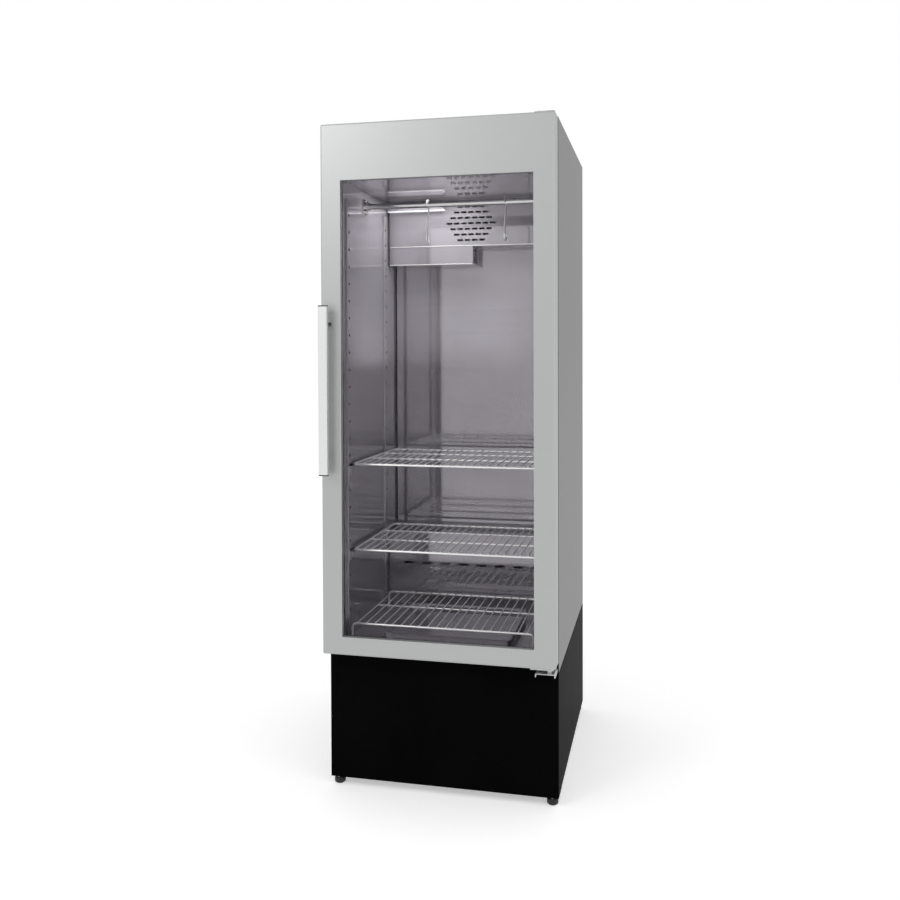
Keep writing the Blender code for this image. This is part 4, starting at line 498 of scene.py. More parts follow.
def row_of_wires(start, end, front, rear, height, pitch):
    """As many wires along Y as fit between two ends, centred, with rounded tips."""
    count = int((end - start) / pitch) + 1
    first_x = (start + end) / 2 - (count - 1) * pitch / 2
    wire = begin(
        bpy.ops.mesh.primitive_cylinder_add,
        vertices=WIRE_SIDES,
        radius=WIRE_RADIUS,
        depth=rear - front + 2 * WIRE_PAST,
        location=(first_x, (front + rear) / 2, height),
        rotation=(math.pi / 2, 0.0, 0.0),
    )
    pick(wire, lambda centre, normal: abs(normal.y) > 0.9)
    bpy.ops.mesh.bevel(offset=WIRE_ROUNDING, segments=2, affect="EDGES")
    close_up(wire, ROUND_ANGLE)
    apply_modifier(
        wire,
        "ARRAY",
        count=count,
        use_relative_offset=False,
        use_constant_offset=True,
        constant_offset_displace=(pitch, 0.0, 0.0),
    )
    print(f"{count} wires, {(rear - front) * 1000:.0f} mm deep")
    return wire


print("rod helpers ready")

# %% [markdown]
# ## The two wire shelves
# A shelf is a frame of 8 mm rod with rounded corners, two thinner rods across, and 4 mm wires on top. At
# each crossing the wire is welded a little way into the rod below it. The frame's box gives the middle
# lines of the rods, so the new shelf lies exactly in the place of the old solid.

# %% Shelves from rod and wire
RAIL_RADIUS = 0.004
CROSS_RADIUS = 0.003
WELD_SHARE = 0.7
SHELF_CORNER = 0.012
SHELF_WIRE_PITCH = 0.025
SHELF_WIRE_MARGIN = 0.008
SHELF_CROSS_SHARES = (0.363, 0.698)


def wire_shelf(node):
    low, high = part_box(node)
    side = high.x - RAIL_RADIUS
    front = low.y + RAIL_RADIUS
    rear = high.y - RAIL_RADIUS
    rail_z = low.z + RAIL_RADIUS
    wire_z = rail_z + WELD_SHARE * (RAIL_RADIUS + WIRE_RADIUS)
    cross_z = wire_z - WELD_SHARE * (CROSS_RADIUS + WIRE_RADIUS)
    corner = ("bend", UP, SHELF_CORNER, 90)
    half_run = ("run", side - SHELF_CORNER)
    side_run = ("run", rear - front - 2 * SHELF_CORNER)
    back_run = ("run", 2 * (side - SHELF_CORNER))
    route = [half_run, corner, side_run, corner, back_run, corner, side_run, corner, half_run]
    parts = [bent_rod(RAIL_RADIUS, (0.0, front, rail_z), TO_RIGHT, route, closed=True)]
    for share in SHELF_CROSS_SHARES:
        start = (-side, front + share * (rear - front), cross_z)
        parts.append(bent_rod(CROSS_RADIUS, start, TO_RIGHT, [("run", 2 * side)]))
    reach = side - SHELF_WIRE_MARGIN
    parts.append(row_of_wires(-reach, reach, front, rear, wire_z, SHELF_WIRE_PITCH))
    return join(parts)


for level in ("upper", "lower"):
    shelf = wire_shelf(f"{level}_shelf")
    fit(shelf, f"{level}_wire_shelf", f"{level}_shelf", bright_rod, "bright_wire", f"{level}_shelf")

# %% [markdown]
# ## The grate on the floor
# The lowest rack stands on its own legs. Its two rails run across, front and rear, and their ends bend
# down to the floor. The wires lie over both rails, and one thin rod ties them together in the middle.

# %% Grate with bent legs
GRATE_BEND = 0.014
GRATE_WIRE_PITCH = 0.0285
GRATE_CROSS_SHARE = 0.54

low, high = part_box("bottom_grate")
left = low.x + RAIL_RADIUS
right = high.x - RAIL_RADIUS
front = low.y + RAIL_RADIUS
rear = high.y - RAIL_RADIUS
wire_z = high.z - WIRE_RADIUS
rail_z = wire_z - WELD_SHARE * (RAIL_RADIUS + WIRE_RADIUS)
leg_run = ("run", rail_z - low.z - GRATE_BEND)
knee = ("bend", BACKWARD, GRATE_BEND, 90)
level_run = ("run", right - left - 2 * GRATE_BEND)
route = [leg_run, knee, level_run, knee, leg_run]
grate = [bent_rod(RAIL_RADIUS, (left, y, low.z), UP, route) for y in (front, rear)]
start = left + GRATE_BEND
end = right - GRATE_BEND
cross_y = front + GRATE_CROSS_SHARE * (rear - front)
cross_z = wire_z - WELD_SHARE * (CROSS_RADIUS + WIRE_RADIUS)
grate.append(bent_rod(CROSS_RADIUS, (start, cross_y, cross_z), TO_RIGHT, [("run", end - start)]))
grate.append(row_of_wires(start, end, front, rear, wire_z, GRATE_WIRE_PITCH))
fit(join(grate), "floor_grate", "cabinet", bright_rod, "bright_wire", "bottom_grate")

# %% [markdown]
# ## The two hooks
# Each hook is one rod with two bends: a small one over the bar and a wider one below, whose end is ground
# to a point. It hangs so that its lower bend is under the bar's axis, which leans the shank a little. The
# lean is worked into the start and the heading, because the bends turn about the same axis as the lean.

# %% Hooks
HOOK_RADIUS = 0.003
TOP_BEND_RADIUS = 0.016
TOP_BEND_DEGREES = 205
LOW_BEND_RADIUS = 0.017
LOW_BEND_DEGREES = 200
SHANK_LENGTH = 0.100
POINT_LENGTH = 0.011
BAR_PLAY = 0.0003
BEND_STEPS = 20

bar_low, bar_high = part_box("hanging_bar")
bar_radius = (bar_high.z - bar_low.z) / 2
bar_middle = (bar_low + bar_high) / 2
hang = TOP_BEND_RADIUS - HOOK_RADIUS - bar_radius - BAR_PLAY
lean = math.atan2(TOP_BEND_RADIUS + LOW_BEND_RADIUS, hang + SHANK_LENGTH)
tilt_back = Matrix.Rotation(-lean, 3, "X")
first_angle = math.radians(TOP_BEND_DEGREES)
first_arm = Vector((0.0, math.cos(first_angle), math.sin(first_angle))) * TOP_BEND_RADIUS
first_heading = tilt_back @ Vector((0.0, math.sin(first_angle), -math.cos(first_angle)))
bends = [
    ("bend", (-1.0, 0.0, 0.0), TOP_BEND_RADIUS, TOP_BEND_DEGREES),
    ("run", SHANK_LENGTH),
    ("bend", (1.0, 0.0, 0.0), LOW_BEND_RADIUS, LOW_BEND_DEGREES),
]
for side in SIDES:
    node = f"hook_{side}"
    low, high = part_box(node)
    start = bar_middle + tilt_back @ (first_arm - Vector((0.0, 0.0, hang)))
    start.x = (low.x + high.x) / 2
    hook = bent_rod(
        HOOK_RADIUS, start, first_heading, bends, bend_steps=BEND_STEPS, point=POINT_LENGTH
    )
    fit(hook, f"{node}_rod", node, bright_rod, "bright_wire", node)
print(f"hooks lean {math.degrees(lean):.1f} degrees")

# %% [markdown]
# ## Screws, bolts and nuts
# Fastenings are what makes sheet metal believable, so there are four models of them: a pan head with a
# cross recess, a flat head to be sunk, a hexagon bolt on its washer, and the hexagon nut of a foot. Each
# starts as a disc that grows upwards in steps, and a step is a rise and how much its end is scaled. The
# cross is cut with a Boolean, because its four arms would be slow to extrude into a round head.

# %% Four fastenings
PAN_RADIUS = 0.0036
PAN_STEPS = ((0.0011, 1.0), (0.0006, 0.86), (0.0003, 0.62))
FLUSH_RADIUS = 0.0020
FLUSH_HEIGHT = 0.0007
RECESS_DEPTH = 0.0011
RECESS_HALF = 0.00045
RECESS_ARM = 0.0014
WASHER_RADIUS = 0.0075
WASHER_HEIGHT = 0.0012
BOLT_RADIUS = 0.0058
BOLT_START = 0.0010  # inside the washer
BOLT_STEPS = ((0.0034, 1.0), (0.0006, 0.88))
NUT_RADIUS = 0.0150
NUT_STEPS = ((0.00063, 1.0), (0.00294, 1.0), (0.00063, 0.93))


def stepped(radius, steps, sides=20, start=0.0, angle=35):
    """A disc on the Z axis that grows upwards in steps of a rise and a scale."""
    circle = bpy.ops.mesh.primitive_circle_add
    centre = Vector((0.0, 0.0, start))
    piece = begin(circle, vertices=sides, radius=radius, fill_type="NGON", location=centre)
    for rise, scale in steps:
        centre.z += rise
        extrude((0.0, 0.0, rise), scale, centre)
    return close_up(piece, angle)


def seat_last(model, places, out):
    """Seats a model for the last time and takes it out of the scene."""
    piece = seat(model, places, out)
    bpy.data.objects.remove(model)
    return piece


def cut_away(piece, cutter):
    """Takes a cutter's shape out of a piece, and the cutter out of the scene."""
    apply_modifier(piece, "BOOLEAN", object=cutter, operation="DIFFERENCE", solver="EXACT")
    bpy.data.objects.remove(cutter)


def cross_cutter(top):
    """A cross with four arms, whose bottom lies a recess's depth under the head's top."""
    middle = Vector((0.0, 0.0, top))
    reach = Vector((RECESS_HALF, RECESS_HALF, RECESS_DEPTH))
    cutter = block(middle - reach, middle + reach)
    for way in ((1, 0, 0), (-1, 0, 0), (0, 1, 0), (0, -1, 0)):
        outward = Vector(way)
        pick(cutter, lambda spot, normal: normal.dot(outward) > 0.9 and spot.xy.length < 2 * RECESS_HALF)
        extrude(outward * RECESS_ARM)
    return close_up(cutter)


pan = stepped(PAN_RADIUS, PAN_STEPS, angle=ROUND_ANGLE)
cut_away(pan, cross_cutter(sum(rise for rise, scale in PAN_STEPS)))
flush = stepped(FLUSH_RADIUS, [(FLUSH_HEIGHT, 1.5)])
cut_away(flush, cross_cutter(FLUSH_HEIGHT + RECESS_DEPTH / 2))
washer = stepped(WASHER_RADIUS, [(WASHER_HEIGHT, 1.0)])
bolt = join([washer, stepped(BOLT_RADIUS, BOLT_STEPS, sides=6, start=BOLT_START)])
nut = stepped(NUT_RADIUS, NUT_STEPS, sides=6)
print("fastenings modelled:", len(pan.data.polygons), "faces in a pan head")

# %% [markdown]
# ## Where they hold
# Two screws hold each bracket of the bar, two the lower hinge, and two more the plate under the door that
# turns on that hinge. Their places come from the boxes of the solids that they hold, and each head lies on
# the outside of the sheet.

# %% Screws of brackets and hinges
HINGE_SHEET = 0.003
CASING_GAP = 0.0003
BRACKET_SCREW_REACH = 0.0182  # above and below the bar
HINGE_SCREW_INSET = 0.013
HINGE_SCREW_HEIGHT = 0.4265  # above the ground
PLATE_SCREW_INSETS = (0.009, 0.030)

screws = []
for side, out in INWARD:
    low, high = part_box(f"bar_bracket_{side}")
    middle = (low + high) / 2
    face_x = low.x + HINGE_SHEET if out > 0 else high.x - HINGE_SHEET
    steps = (-BRACKET_SCREW_REACH, BRACKET_SCREW_REACH)
    places = [(face_x, middle.y, middle.z + step) for step in steps]
    screws.append(seat(pan, places, (out, 0.0, 0.0)))
fit(join(screws), "bar_bracket_screws", "cabinet", bright_rod, "bright_wire")

low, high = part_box("hinge_bracket_bottom")
face_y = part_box("base_front_cover")[0].y - CASING_GAP - HINGE_SHEET
sides_x = (low.x + HINGE_SCREW_INSET, high.x - HINGE_SCREW_INSET)
places = [(x, face_y, HINGE_SCREW_HEIGHT) for x in sides_x]
fit(seat(pan, places, FORWARD), "lower_hinge_screws", "cabinet", zinc, "zinc")

low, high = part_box("door_hinge_plate")
places = [(low.x + inset, (low.y + high.y) / 2, low.z) for inset in PLATE_SCREW_INSETS]
fit(seat_last(pan, places, DOWN), "door_plate_screws", "door", zinc, "zinc")

# %% [markdown]
# ## Bolts and nuts of the base
# The compressor stands on two rails, and a bolt holds each end of a rail. A foot is a plastic pad on a
# threaded pin: once the cabinet is level, a nut on the pin locks it against the floor plate.

# %% Bolts of the compressor and nuts of the feet
BOLT_INSET = 0.016  # from the ends of the rails
RAIL_SHARE = 0.53  # how far from the middle the rails run
RAIL_TOP = 0.022
NUT_DROP = 0.0045  # the nut's underside under the foot's top

low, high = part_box("compressor")
middle = (low + high) / 2
reach_x = (high.x - low.x) / 2 - BOLT_INSET
reach_y = RAIL_SHARE * (high.y - low.y) / 2
places = []
for x in (-reach_x, reach_x):
    places += [(middle.x + x, middle.y + y, low.z + RAIL_TOP) for y in (-reach_y, reach_y)]
fit(seat_last(bolt, places, UP), "compressor_bolts", "cabinet", zinc, "zinc")

places = []
for corner in CORNERS:
    low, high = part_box(f"foot_{corner}")
    middle = (low + high) / 2
    places.append((middle.x, middle.y, high.z - NUT_DROP))
fit(seat_last(nut, places, UP), "foot_nuts", "cabinet", zinc, "zinc")

# %% [markdown]
# ## Rear sheet with sunk screws
# The back of the cabinet is closed by one zinc sheet. Its screws sit in dimples, so that nothing stands
# proud of the back and it can be pushed against a wall. The solid behind it is a plain sheet: here the
# same sheet is modelled again and a row of cones takes the dimples out along its edges.

# %% Rear sheet
SHEET_EDGE = 0.0002
DIMPLE_RADIUS = 0.003224
DIMPLE_DEPTH = 0.0008
DIMPLE_SPREAD = 1.9
SCREW_MARGIN = 0.014
SIDE_SHARES = (0.0, 0.25, 0.5, 0.75, 1.0)
END_SHARES = (-0.5, 0.0, 0.5)


def countersink(piece, spots, out, radius, depth, spread):
    """Takes a cone out of a piece at each spot. The radius is that of the cone's floor."""
    cone = stepped(radius, [(2 * depth, spread)], sides=16, start=-depth)
    cut_away(piece, seat_last(cone, spots, out))


low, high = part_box("rear_panel")
sheet = block(low, high)
pick(sheet, lambda centre, normal: abs(normal.y) < 0.5)
bpy.ops.mesh.bevel(offset=SHEET_EDGE, segments=1, affect="EDGES")
close_up(sheet)
left = low.x + SCREW_MARGIN
right = high.x - SCREW_MARGIN
bottom = low.z + SCREW_MARGIN
top = high.z - SCREW_MARGIN
spots = [(x, high.y, bottom + share * (top - bottom)) for share in SIDE_SHARES for x in (left, right)]
spots += [(share * right, high.y, z) for z in (bottom, top) for share in END_SHARES]
countersink(sheet, spots, BACKWARD, DIMPLE_RADIUS, DIMPLE_DEPTH, DIMPLE_SPREAD)
fit(sheet, "rear_sheet", "cabinet", zinc, "zinc", "rear_panel")
sunk = [(x, y - DIMPLE_DEPTH, z) for x, y, z in spots]
fit(seat(flush, sunk, BACKWARD), "rear_sheet_screws", "cabinet", zinc, "zinc")
print(f"{len(spots)} screws in the rear sheet")

# %% [markdown]
# ## Top hinge plate
# The upper hinge plate is the highest point of the cabinet, so its two screws are sunk in countersinks.
# Under its free end sits the pin that the door turns on. The tip of the pin is chamfered, which lets the
# door slide over it when it is hung.

# %% Top hinge plate with countersinks and pin
PLATE_EDGE = 0.0004
SINK_RADIUS = 0.0030
SINK_DEPTH = 0.0012
SINK_SPREAD = 1.7
SINK_INSET = 0.012
HEAD_DEPTH = 0.0010
PIN_RADIUS = 0.004
PIN_INSET_X = 0.019
PIN_INSET_Y = 0.014
PIN_ROOT = 0.0006  # how deep the pin is sunk in the plate
PIN_TIP = 0.0008

low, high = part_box("hinge_bracket_top")
plate_low = high.z - HINGE_SHEET
plate = block(Vector((low.x, low.y, plate_low)), high)
bpy.ops.mesh.bevel(offset=PLATE_EDGE, segments=2, affect="EDGES")
close_up(plate)
sides_x = (low.x + HINGE_SCREW_INSET, high.x - HINGE_SCREW_INSET)
places = [(x, high.y - SINK_INSET, high.z) for x in sides_x]
countersink(plate, places, UP, SINK_RADIUS, SINK_DEPTH, SINK_SPREAD)
shaft = plate_low - low.z + PIN_ROOT - PIN_TIP
pin = stepped(PIN_RADIUS, [(shaft, 1.0), (PIN_TIP, 0.8)], sides=24, angle=30)
pin_place = (high.x - PIN_INSET_X, low.y + PIN_INSET_Y, plate_low + PIN_ROOT)
hinge = join([plate, seat_last(pin, [pin_place], DOWN)])
fit(hinge, "top_hinge_plate", "cabinet", zinc, "bright_wire", "hinge_bracket_top")
sunk = [(x, y, z - HEAD_DEPTH) for x, y, z in places]
fit(seat_last(flush, sunk, UP), "top_hinge_screws", "cabinet", zinc, "zinc")

# %% [markdown]
# ## Collar of the lock
# The lock's plug turns in a bore of the door, and a thin collar covers the bore's edge. It starts as a
# torus that is half sunk in the door, and its upper faces are pressed flat, as on a turned ring.

# %% Lock collar
COLLAR_HALF = 0.0008
COLLAR_GAP = 0.0002
COLLAR_HEIGHT = 0.0006

low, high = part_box("lock_plug")
plug_radius = (high.z - low.z) / 2
place = (low + high) / 2
place.y = low.y
collar = begin(
    bpy.ops.mesh.primitive_torus_add,
    major_radius=plug_radius + COLLAR_GAP + COLLAR_HALF,
    minor_radius=COLLAR_HALF,
    major_segments=36,
    minor_segments=12,
)
pick(collar, lambda centre, normal: normal.z > 0.6)
bpy.ops.transform.resize(value=(1.0, 1.0, 0.0), center_override=(0.0, 0.0, COLLAR_HEIGHT))
close_up(collar, 30)
fit(seat_last(collar, [place], FORWARD), "lock_collar", "door", lock_metal, "handle_metal")

# %% [markdown]
# ## Dark print round the pane
# Behind the window's edge the outer pane reaches further than the opening, and the foam of the door would
# show through it when the door is open. Real panes carry a black print there. It is a thin frame: a plane
# gets an inset, its middle face is deleted, and the frame that remains is extruded to its thickness.

# %% Pane edge print
PRINT_INSET = 0.0102  # from the pane's edge to the print
PRINT_WIDTH = 0.0129
PRINT_GAP = 0.0001
PRINT_THICKNESS = 0.0006

low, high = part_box("glass_outer")
middle = (low + high) / 2
middle.y = high.y + PRINT_GAP
size = (high.x - low.x - 2 * PRINT_INSET, 1.0, high.z - low.z - 2 * PRINT_INSET)
upright = (math.pi / 2, 0.0, 0.0)
band = begin(bpy.ops.mesh.primitive_plane_add, size=1.0, location=middle, rotation=upright)
bpy.ops.transform.resize(value=size, center_override=middle)
bpy.ops.mesh.inset(thickness=PRINT_WIDTH)
pick(band, lambda centre, normal: (centre - middle).length < PRINT_WIDTH)
bpy.ops.mesh.delete(type="FACE")
bpy.ops.mesh.select_all(action="SELECT")
extrude((0.0, PRINT_THICKNESS, 0.0))
fit(close_up(band), "pane_edge_print", "door", black_plastic, "black_plastic")

# %% [markdown]
# ## Hairpin bends of the coils
# The tubes of both coils run to and fro through the fins, and a hairpin bend joins each pair at the ends.
# One hairpin is bent as a rod with a half turn, stood on its open ends, and copied up both ends of a coil.

# %% Hairpins of evaporator and condenser
TUBE_RADIUS = 0.0045
HAIRPIN_RADIUS = 0.0125
HAIRPIN_STUB = 0.008
COIL_EDGE = 0.8  # from the first column to the coil's edge, in distances between columns


def hairpins(node, name, columns, room):
    """Bends at both ends of a coil, in so many columns, no further out than the room beside it."""
    low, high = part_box(node)
    stub = min(HAIRPIN_STUB, room - HAIRPIN_RADIUS - TUBE_RADIUS)
    moves = [("run", stub), ("bend", (-1.0, 0.0, 0.0), HAIRPIN_RADIUS, 180), ("run", stub)]
    pin = bent_rod(TUBE_RADIUS, (0.0, -HAIRPIN_RADIUS, 0.0), UP, moves, sides=12)
    pitch = 4 * HAIRPIN_RADIUS
    count = int((high.z - low.z) / pitch)
    column_pitch = (high.y - low.y) / (columns - 1 + 2 * COIL_EDGE)
    ends = []
    for x, out in ((low.x, -1.0), (high.x, 1.0)):
        heights = [low.z + pitch * (row + 0.5) - out * HAIRPIN_RADIUS for row in range(count)]
        heights = [z for z in heights if z + HAIRPIN_RADIUS + TUBE_RADIUS < high.z]
        places = []
        for column in range(columns):
            y = low.y + column_pitch * (column + COIL_EDGE)
            places += [(x, y, z) for z in heights]
        ends.append(seat(pin, places, (out, 0.0, 0.0)))
    bpy.data.objects.remove(pin)
    fit(join(ends), name, "cabinet", copper, "copper")


hairpins("evaporator_coil", "evaporator_hairpins", columns=3, room=0.050)
hairpins("condenser", "condenser_hairpins", columns=2, room=0.040)

# %% [markdown]
# ## Terminal cover of the compressor and pins of the inlet
# A hermetic compressor has its terminals under a plastic cover on its side. The power inlet at the rear
# has three pins in its socket. The cover is a cube with a step and rounded edges, and a pin is a disc with
# four corners that is extruded, narrowed at its tip and pressed flat.

# %% Terminal cover and pins
COVER_REACH = Vector((0.029, 0.020, 0.033))
COVER_STEP = 0.006
COVER_EDGE = 0.0018
INLET_RISE = 0.065  # above the floor plate
SOCKET_DEPTH = 0.014
BLADE_RADIUS = 0.0022
BLADE_STEPS = ((0.0085, 1.0), (0.0010, 0.6))
BLADE_SPOTS = ((-0.0055, -0.002), (0.0055, -0.002), (0.0, 0.003))

low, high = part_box("compressor")
middle = (low + high) / 2
middle.y = low.y
cover = block(middle - COVER_REACH, middle + COVER_REACH)
pick(cover, lambda centre, normal: normal.y < -0.9)
bpy.ops.mesh.inset(thickness=COVER_STEP)
extrude((0.0, -COVER_STEP, 0.0))
bpy.ops.mesh.select_all(action="SELECT")
bpy.ops.mesh.bevel(offset=COVER_EDGE, segments=2, affect="EDGES")
fit(close_up(cover), "terminal_cover", "cabinet", black_plastic, "black_plastic")

low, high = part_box("electrical_box")
inlet_x = (low.x + high.x) / 2
inlet_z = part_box("base_floor_plate")[1].z + INLET_RISE
blade = stepped(BLADE_RADIUS, BLADE_STEPS, sides=4)
blade.data.transform(Matrix.Diagonal((1.0, 0.5, 1.0, 1.0)))
places = [(inlet_x + x, high.y - SOCKET_DEPTH, inlet_z + z) for x, z in BLADE_SPOTS]
fit(seat_last(blade, places, BACKWARD), "inlet_pins", "cabinet", tube_steel, "bright_wire")

# %% [markdown]
# ## Punched sheet
# The sheet in front of the fan has rows of slots, and each shelf upright has a row of holes for the
# runners. On the real thing a press punches them with tools whose ends are half round. The solids keep
# their triangles few, so their slots end in points and their holes are small. Here a Boolean takes a
# finer tool out of the sheets.

# %% A round-ended punch
PUNCH_SIDES = 16


def round_punch(length, height, depth):
    """A bar with half-round ends, along Z at the origin, for slots that run along X."""
    punch = begin(
        bpy.ops.mesh.primitive_cylinder_add,
        vertices=PUNCH_SIDES,
        radius=height / 2,
        depth=depth,
        rotation=(0.0, 0.0, math.pi / PUNCH_SIDES),
    )
    for way in (-1.0, 1.0):
        pick(punch, lambda centre, normal: centre.x * way > height / 20 and abs(normal.z) < 0.5)
        bpy.ops.transform.translate(value=(way * (length - height) / 2, 0.0, 0.0))
    return close_up(punch)


def merged_copy(node):
    """A copy of a solid, with its loose triangles joined."""
    sheet = bpy.data.objects.new(node, solids[node].data.copy())
    bpy.context.scene.collection.objects.link(sheet)
    bpy.ops.object.select_all(action="DESELECT")
    bpy.context.view_layer.objects.active = sheet
    bpy.ops.object.mode_set(mode="EDIT")
    bpy.ops.mesh.select_all(action="SELECT")
    bpy.ops.mesh.remove_doubles(threshold=DOUBLES)
    bpy.ops.object.mode_set(mode="OBJECT")
    return sheet


def drive(punch, sheet, spots, out):
    """Drives the punch through a sheet at each spot, and shades the sheet by its edges' angles."""
    cut_away(sheet, seat_last(punch, spots, out))
    bpy.ops.object.select_all(action="DESELECT")
    sheet.select_set(True)
    bpy.ops.mesh.customdata_custom_splitnormals_clear()
    bpy.ops.object.shade_smooth_by_angle(angle=math.radians(35))
    # a flat keeps its own normal next to a round fold
    apply_modifier(sheet, "WEIGHTED_NORMAL", keep_sharp=True)
    print(f"{sheet.name}: {len(spots)} places punched")
    return sheet


# %% [markdown]
# ## The fan grille
# Seven rows of slots make up a hexagon in front of the fan. Each row is shifted against the next by half
# the distance between two slots, so that narrow bridges of sheet run on all sides of each slot.

# %% Punch the fan grille
SLOT_LENGTH = 0.0214
SLOT_HEIGHT = 0.0072
SLOT_PITCH = 0.0261
ROW_PITCH = 0.0197
ROW_COUNTS = (4, 5, 6, 7, 6, 5, 4)
GRILLE_X = -0.006
GRILLE_DROP = 0.0817  # the grille's middle under the cover's top
GRILLE_PUNCH_DEPTH = 0.012

low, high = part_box("evaporator_cover")
spots = []
for row, count in enumerate(ROW_COUNTS):
    height = high.z - GRILLE_DROP + (row - len(ROW_COUNTS) // 2) * ROW_PITCH
    first_x = GRILLE_X - (count - 1) * SLOT_PITCH / 2
    spots += [(first_x + place * SLOT_PITCH, low.y, height) for place in range(count)]
grille_punch = round_punch(SLOT_LENGTH, SLOT_HEIGHT, GRILLE_PUNCH_DEPTH)
slotted = drive(grille_punch, merged_copy("evaporator_cover"), spots, FORWARD)
fit(slotted, "slotted_cover", "cabinet", liner_steel, "inner_steel", "evaporator_cover")

# %% [markdown]
# ## Holes of the shelf uprights
# Each upright is a shallow channel with a hole every 54 mm. The lug of a runner is narrower than the hole,
# so that it can be hooked in and lowered. The channel is folded from one strip, and a fold is round: its
# two long edges get a bevel, which shows as a bright line from top to bottom.

# %% Punch the uprights
HOLE_LENGTH = 0.0115
HOLE_HEIGHT = 0.0092
HOLE_PITCH = 0.0543
TOP_HOLE_DROP = 0.0500  # the first hole's middle under the upright's top
FOLD_RADIUS = 0.0020
STRIP_THICKNESS = 0.0015
HOLE_PUNCH_DEPTH = 0.006


def channel(low, high, face_x):
    """A strip folded to a channel that is open towards the wall, above and below."""
    strip = block(low, high)
    bpy.ops.mesh.select_mode(type="EDGE")
    bpy.ops.mesh.select_all(action="DESELECT")
    mesh_tool = bmesh.from_edit_mesh(strip.data)
    for edge in mesh_tool.edges:
        on_face = all(abs(vertex.co.x - face_x) < DOUBLES for vertex in edge.verts)
        if on_face and edge.calc_length() > (high.z - low.z) / 2:
            edge.select_set(True)
    bmesh.update_edit_mesh(strip.data)
    bpy.ops.mesh.bevel(offset=FOLD_RADIUS, segments=4, affect="EDGES")
    bpy.ops.mesh.select_mode(type="FACE")
    back = 0.9 * (high.x - low.x)
    pick(strip, lambda centre, normal: abs(normal.z) > 0.9 or abs(centre.x - face_x) > back)
    bpy.ops.mesh.delete(type="FACE")
    bpy.ops.object.mode_set(mode="OBJECT")
    apply_modifier(strip, "SOLIDIFY", thickness=STRIP_THICKNESS, offset=-1.0)
    return strip


for row in ROWS:
    for side, out in INWARD:
        node = f"upright_{row}_{side}"
        low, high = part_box(node)
        face_x = high.x if out > 0 else low.x
        count = int((high.z - TOP_HOLE_DROP - low.z) / HOLE_PITCH) + 1
        heights = [high.z - TOP_HOLE_DROP - HOLE_PITCH * number for number in range(count)]
        spots = [(face_x, (low.y + high.y) / 2, height) for height in heights]
        hole_punch = round_punch(HOLE_LENGTH, HOLE_HEIGHT, HOLE_PUNCH_DEPTH)
        upright = channel(low, high, face_x)
        drive(hole_punch, upright, spots, (out, 0.0, 0.0))
        fit(upright, f"punched_{node}", "cabinet", liner_steel, "inner_steel", node)

# %% [markdown]
# ## Folded hems
# The lower edge of the cover and that of the duct below it are folded back on themselves. Such a hem
# stiffens the thin sheet and leaves no sharp edge. One straight rod half sunk in the sheet gives that
# rounded edge. Its round catches some light, and it wears the brighter finish of the rod instead of the
# sheet's own steel, so the bright line along it is partly painted highlight.

# %% Hems of cover and duct
HEM_RADIUS = 0.0020

hems = []
for node in ("evaporator_cover", "evaporator_duct"):
    low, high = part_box(node)
    start = (low.x + HEM_RADIUS, low.y, low.z + HEM_RADIUS)
    length = high.x - low.x - 2 * HEM_RADIUS
    hems.append(bent_rod(HEM_RADIUS, start, TO_RIGHT, [("run", length)], sides=12))
# the hems take the brighter rod finish, not the sheet's steel: a painted highlight along each edge
fit(join(hems), "cover_hems", "cabinet", bright_rod, "bright_wire")

# %% [markdown]
# ## Floor and background
# The cabinet stands in a plain white studio. The floor glows a little, so that it meets the background
# and still keeps the shadow. The glow is for rays that are seen, by the camera or in steel and glass, and
# it lights nothing. The background is likewise brighter to the eye than as a light.

# %% Floor and world
FLOOR_SIZE = 60.0
FLOOR_DROP = 0.0005
FLOOR_GLOW = 0.43
SKY_LIGHT = 0.75  # what the white surroundings give to rays that nobody sees
SEEING_RAYS = ("Is Camera Ray", "Is Glossy Ray", "Is Transmission Ray")

bpy.ops.object.select_all(action="DESELECT")
bpy.ops.mesh.primitive_plane_add(size=FLOOR_SIZE, location=(0.0, 0.0, -FLOOR_DROP))
floor = bpy.context.object
floor.name = "studio_floor"
matt = {"Roughness": 0.9, "Specular IOR Level": 0.0, "Emission Strength": 1.0}
floor_paint = Finish("studio floor", matt)
floor_cloud = floor_paint.noise(0.4, 2.0)
floor_paint.colour(floor_cloud, grey(0.80), grey(0.82))
seen = sum(floor_paint.node("ShaderNodeLightPath", {}, {}, kind) for kind in SEEING_RAYS)
floor_paint.feed("Emission Color", floor_paint.mix(seen, grey(0.0), grey(FLOOR_GLOW)))
floor.data.materials.append(floor_paint.material)

world = bpy.data.worlds.new("studio")
bpy.context.scene.world = world
world.use_nodes = True
sky = world.node_tree.nodes["Background"]
paths = world.node_tree.nodes.new("ShaderNodeLightPath")
sky_seen = sum(Reading(world.node_tree, paths.outputs[kind]) for kind in SEEING_RAYS)
sky_level = SKY_LIGHT + sky_seen * (1.0 - SKY_LIGHT)
world.node_tree.links.new(sky_level.socket, sky.inputs["Strength"])
sky.inputs["Color"].default_value = (1.0, 1.0, 1.0, 1.0)
print("floor and world")

# %% [markdown]
# ## Lamps
# One large soft lamp stands on the left, so the door is brightest there, and a weaker one fills the
# right. Two more hang inside: one for the cabinet's own lamp, whose cover is too small to light the walls
# without noise, and one that shines upwards, for the light that shelves and floor throw back. The camera
# and the polished steel don't see those two.

# %% Set the lamps


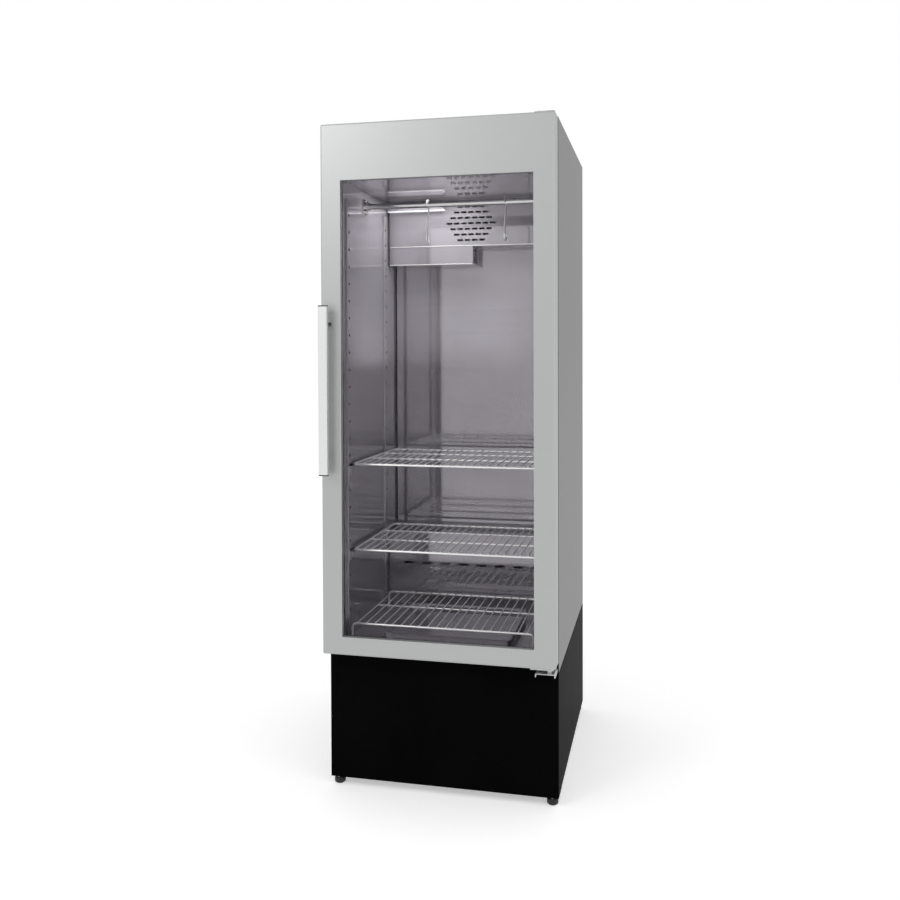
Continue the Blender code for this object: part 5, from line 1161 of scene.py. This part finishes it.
def soft_lamp(name, width, height, place, target, watts):
    """A rectangular lamp that faces a point."""
    lamp = bpy.data.lights.new(name, "AREA")
    lamp.shape = "RECTANGLE"
    lamp.size = width
    lamp.size_y = height
    lamp.energy = watts
    holder = bpy.data.objects.new(name, lamp)
    bpy.context.scene.collection.objects.link(holder)
    holder.location = place
    holder.rotation_euler = (Vector(target) - Vector(place)).to_track_quat("-Z", "Y").to_euler()
    return holder


soft_lamp("left softbox", 1.3, 0.9, place=(-1.9, -3.0, 3.1), target=(-0.2, -0.3, 1.7), watts=22.0)
soft_lamp("right fill", 1.2, 2.0, place=(2.4, -1.6, 1.8), target=(0.0, 0.0, 1.2), watts=8.0)
inner_lamps = [
    soft_lamp("cabinet light", 0.30, 0.26, (-0.12, -0.03, 1.893), (-0.12, -0.03, 0.9), watts=2.4),
    soft_lamp("cabinet bounce", 0.40, 0.30, (-0.05, -0.06, 1.30), (-0.05, -0.06, 1.9), watts=1.6),
]
for lamp in inner_lamps:
    lamp.visible_camera = False
    lamp.visible_glossy = False
print("lamps set")

# %% [markdown]
# ## Camera
# The photograph was taken from the right of the door and a little above the middle of the cabinet. The
# lens shift keeps the cabinet's upright edges nearly parallel.

# %% Camera
CAMERA_PLACE = (0.679, -2.966, 1.368)
TURN_DEGREES = 12.18
TILT_DEGREES = -0.95
ROLL_DEGREES = 0.16
SENSOR_WIDTH = 36.0
FOCAL_LENGTH = 35.73
SHIFT_X = -0.0286
SHIFT_Y = -0.0947

turn = Matrix.Rotation(math.radians(TURN_DEGREES), 3, "Z")
tilt = Matrix.Rotation(math.radians(TILT_DEGREES), 3, "X")
roll = Matrix.Rotation(math.radians(ROLL_DEGREES), 3, "Y")
across, ahead, up = (turn @ tilt @ roll).col
facing_camera = Matrix((across, up, -ahead)).transposed().to_4x4()
lens = bpy.data.cameras.new("photograph")
camera = bpy.data.objects.new("photograph", lens)
bpy.context.scene.collection.objects.link(camera)
bpy.context.scene.camera = camera
camera.matrix_world = Matrix.Translation(CAMERA_PLACE) @ facing_camera
lens.sensor_width = SENSOR_WIDTH
lens.lens = FOCAL_LENGTH
lens.shift_x = SHIFT_X
lens.shift_y = SHIFT_Y
bpy.context.scene.view_settings.view_transform = "Standard"
print("camera at", CAMERA_PLACE)
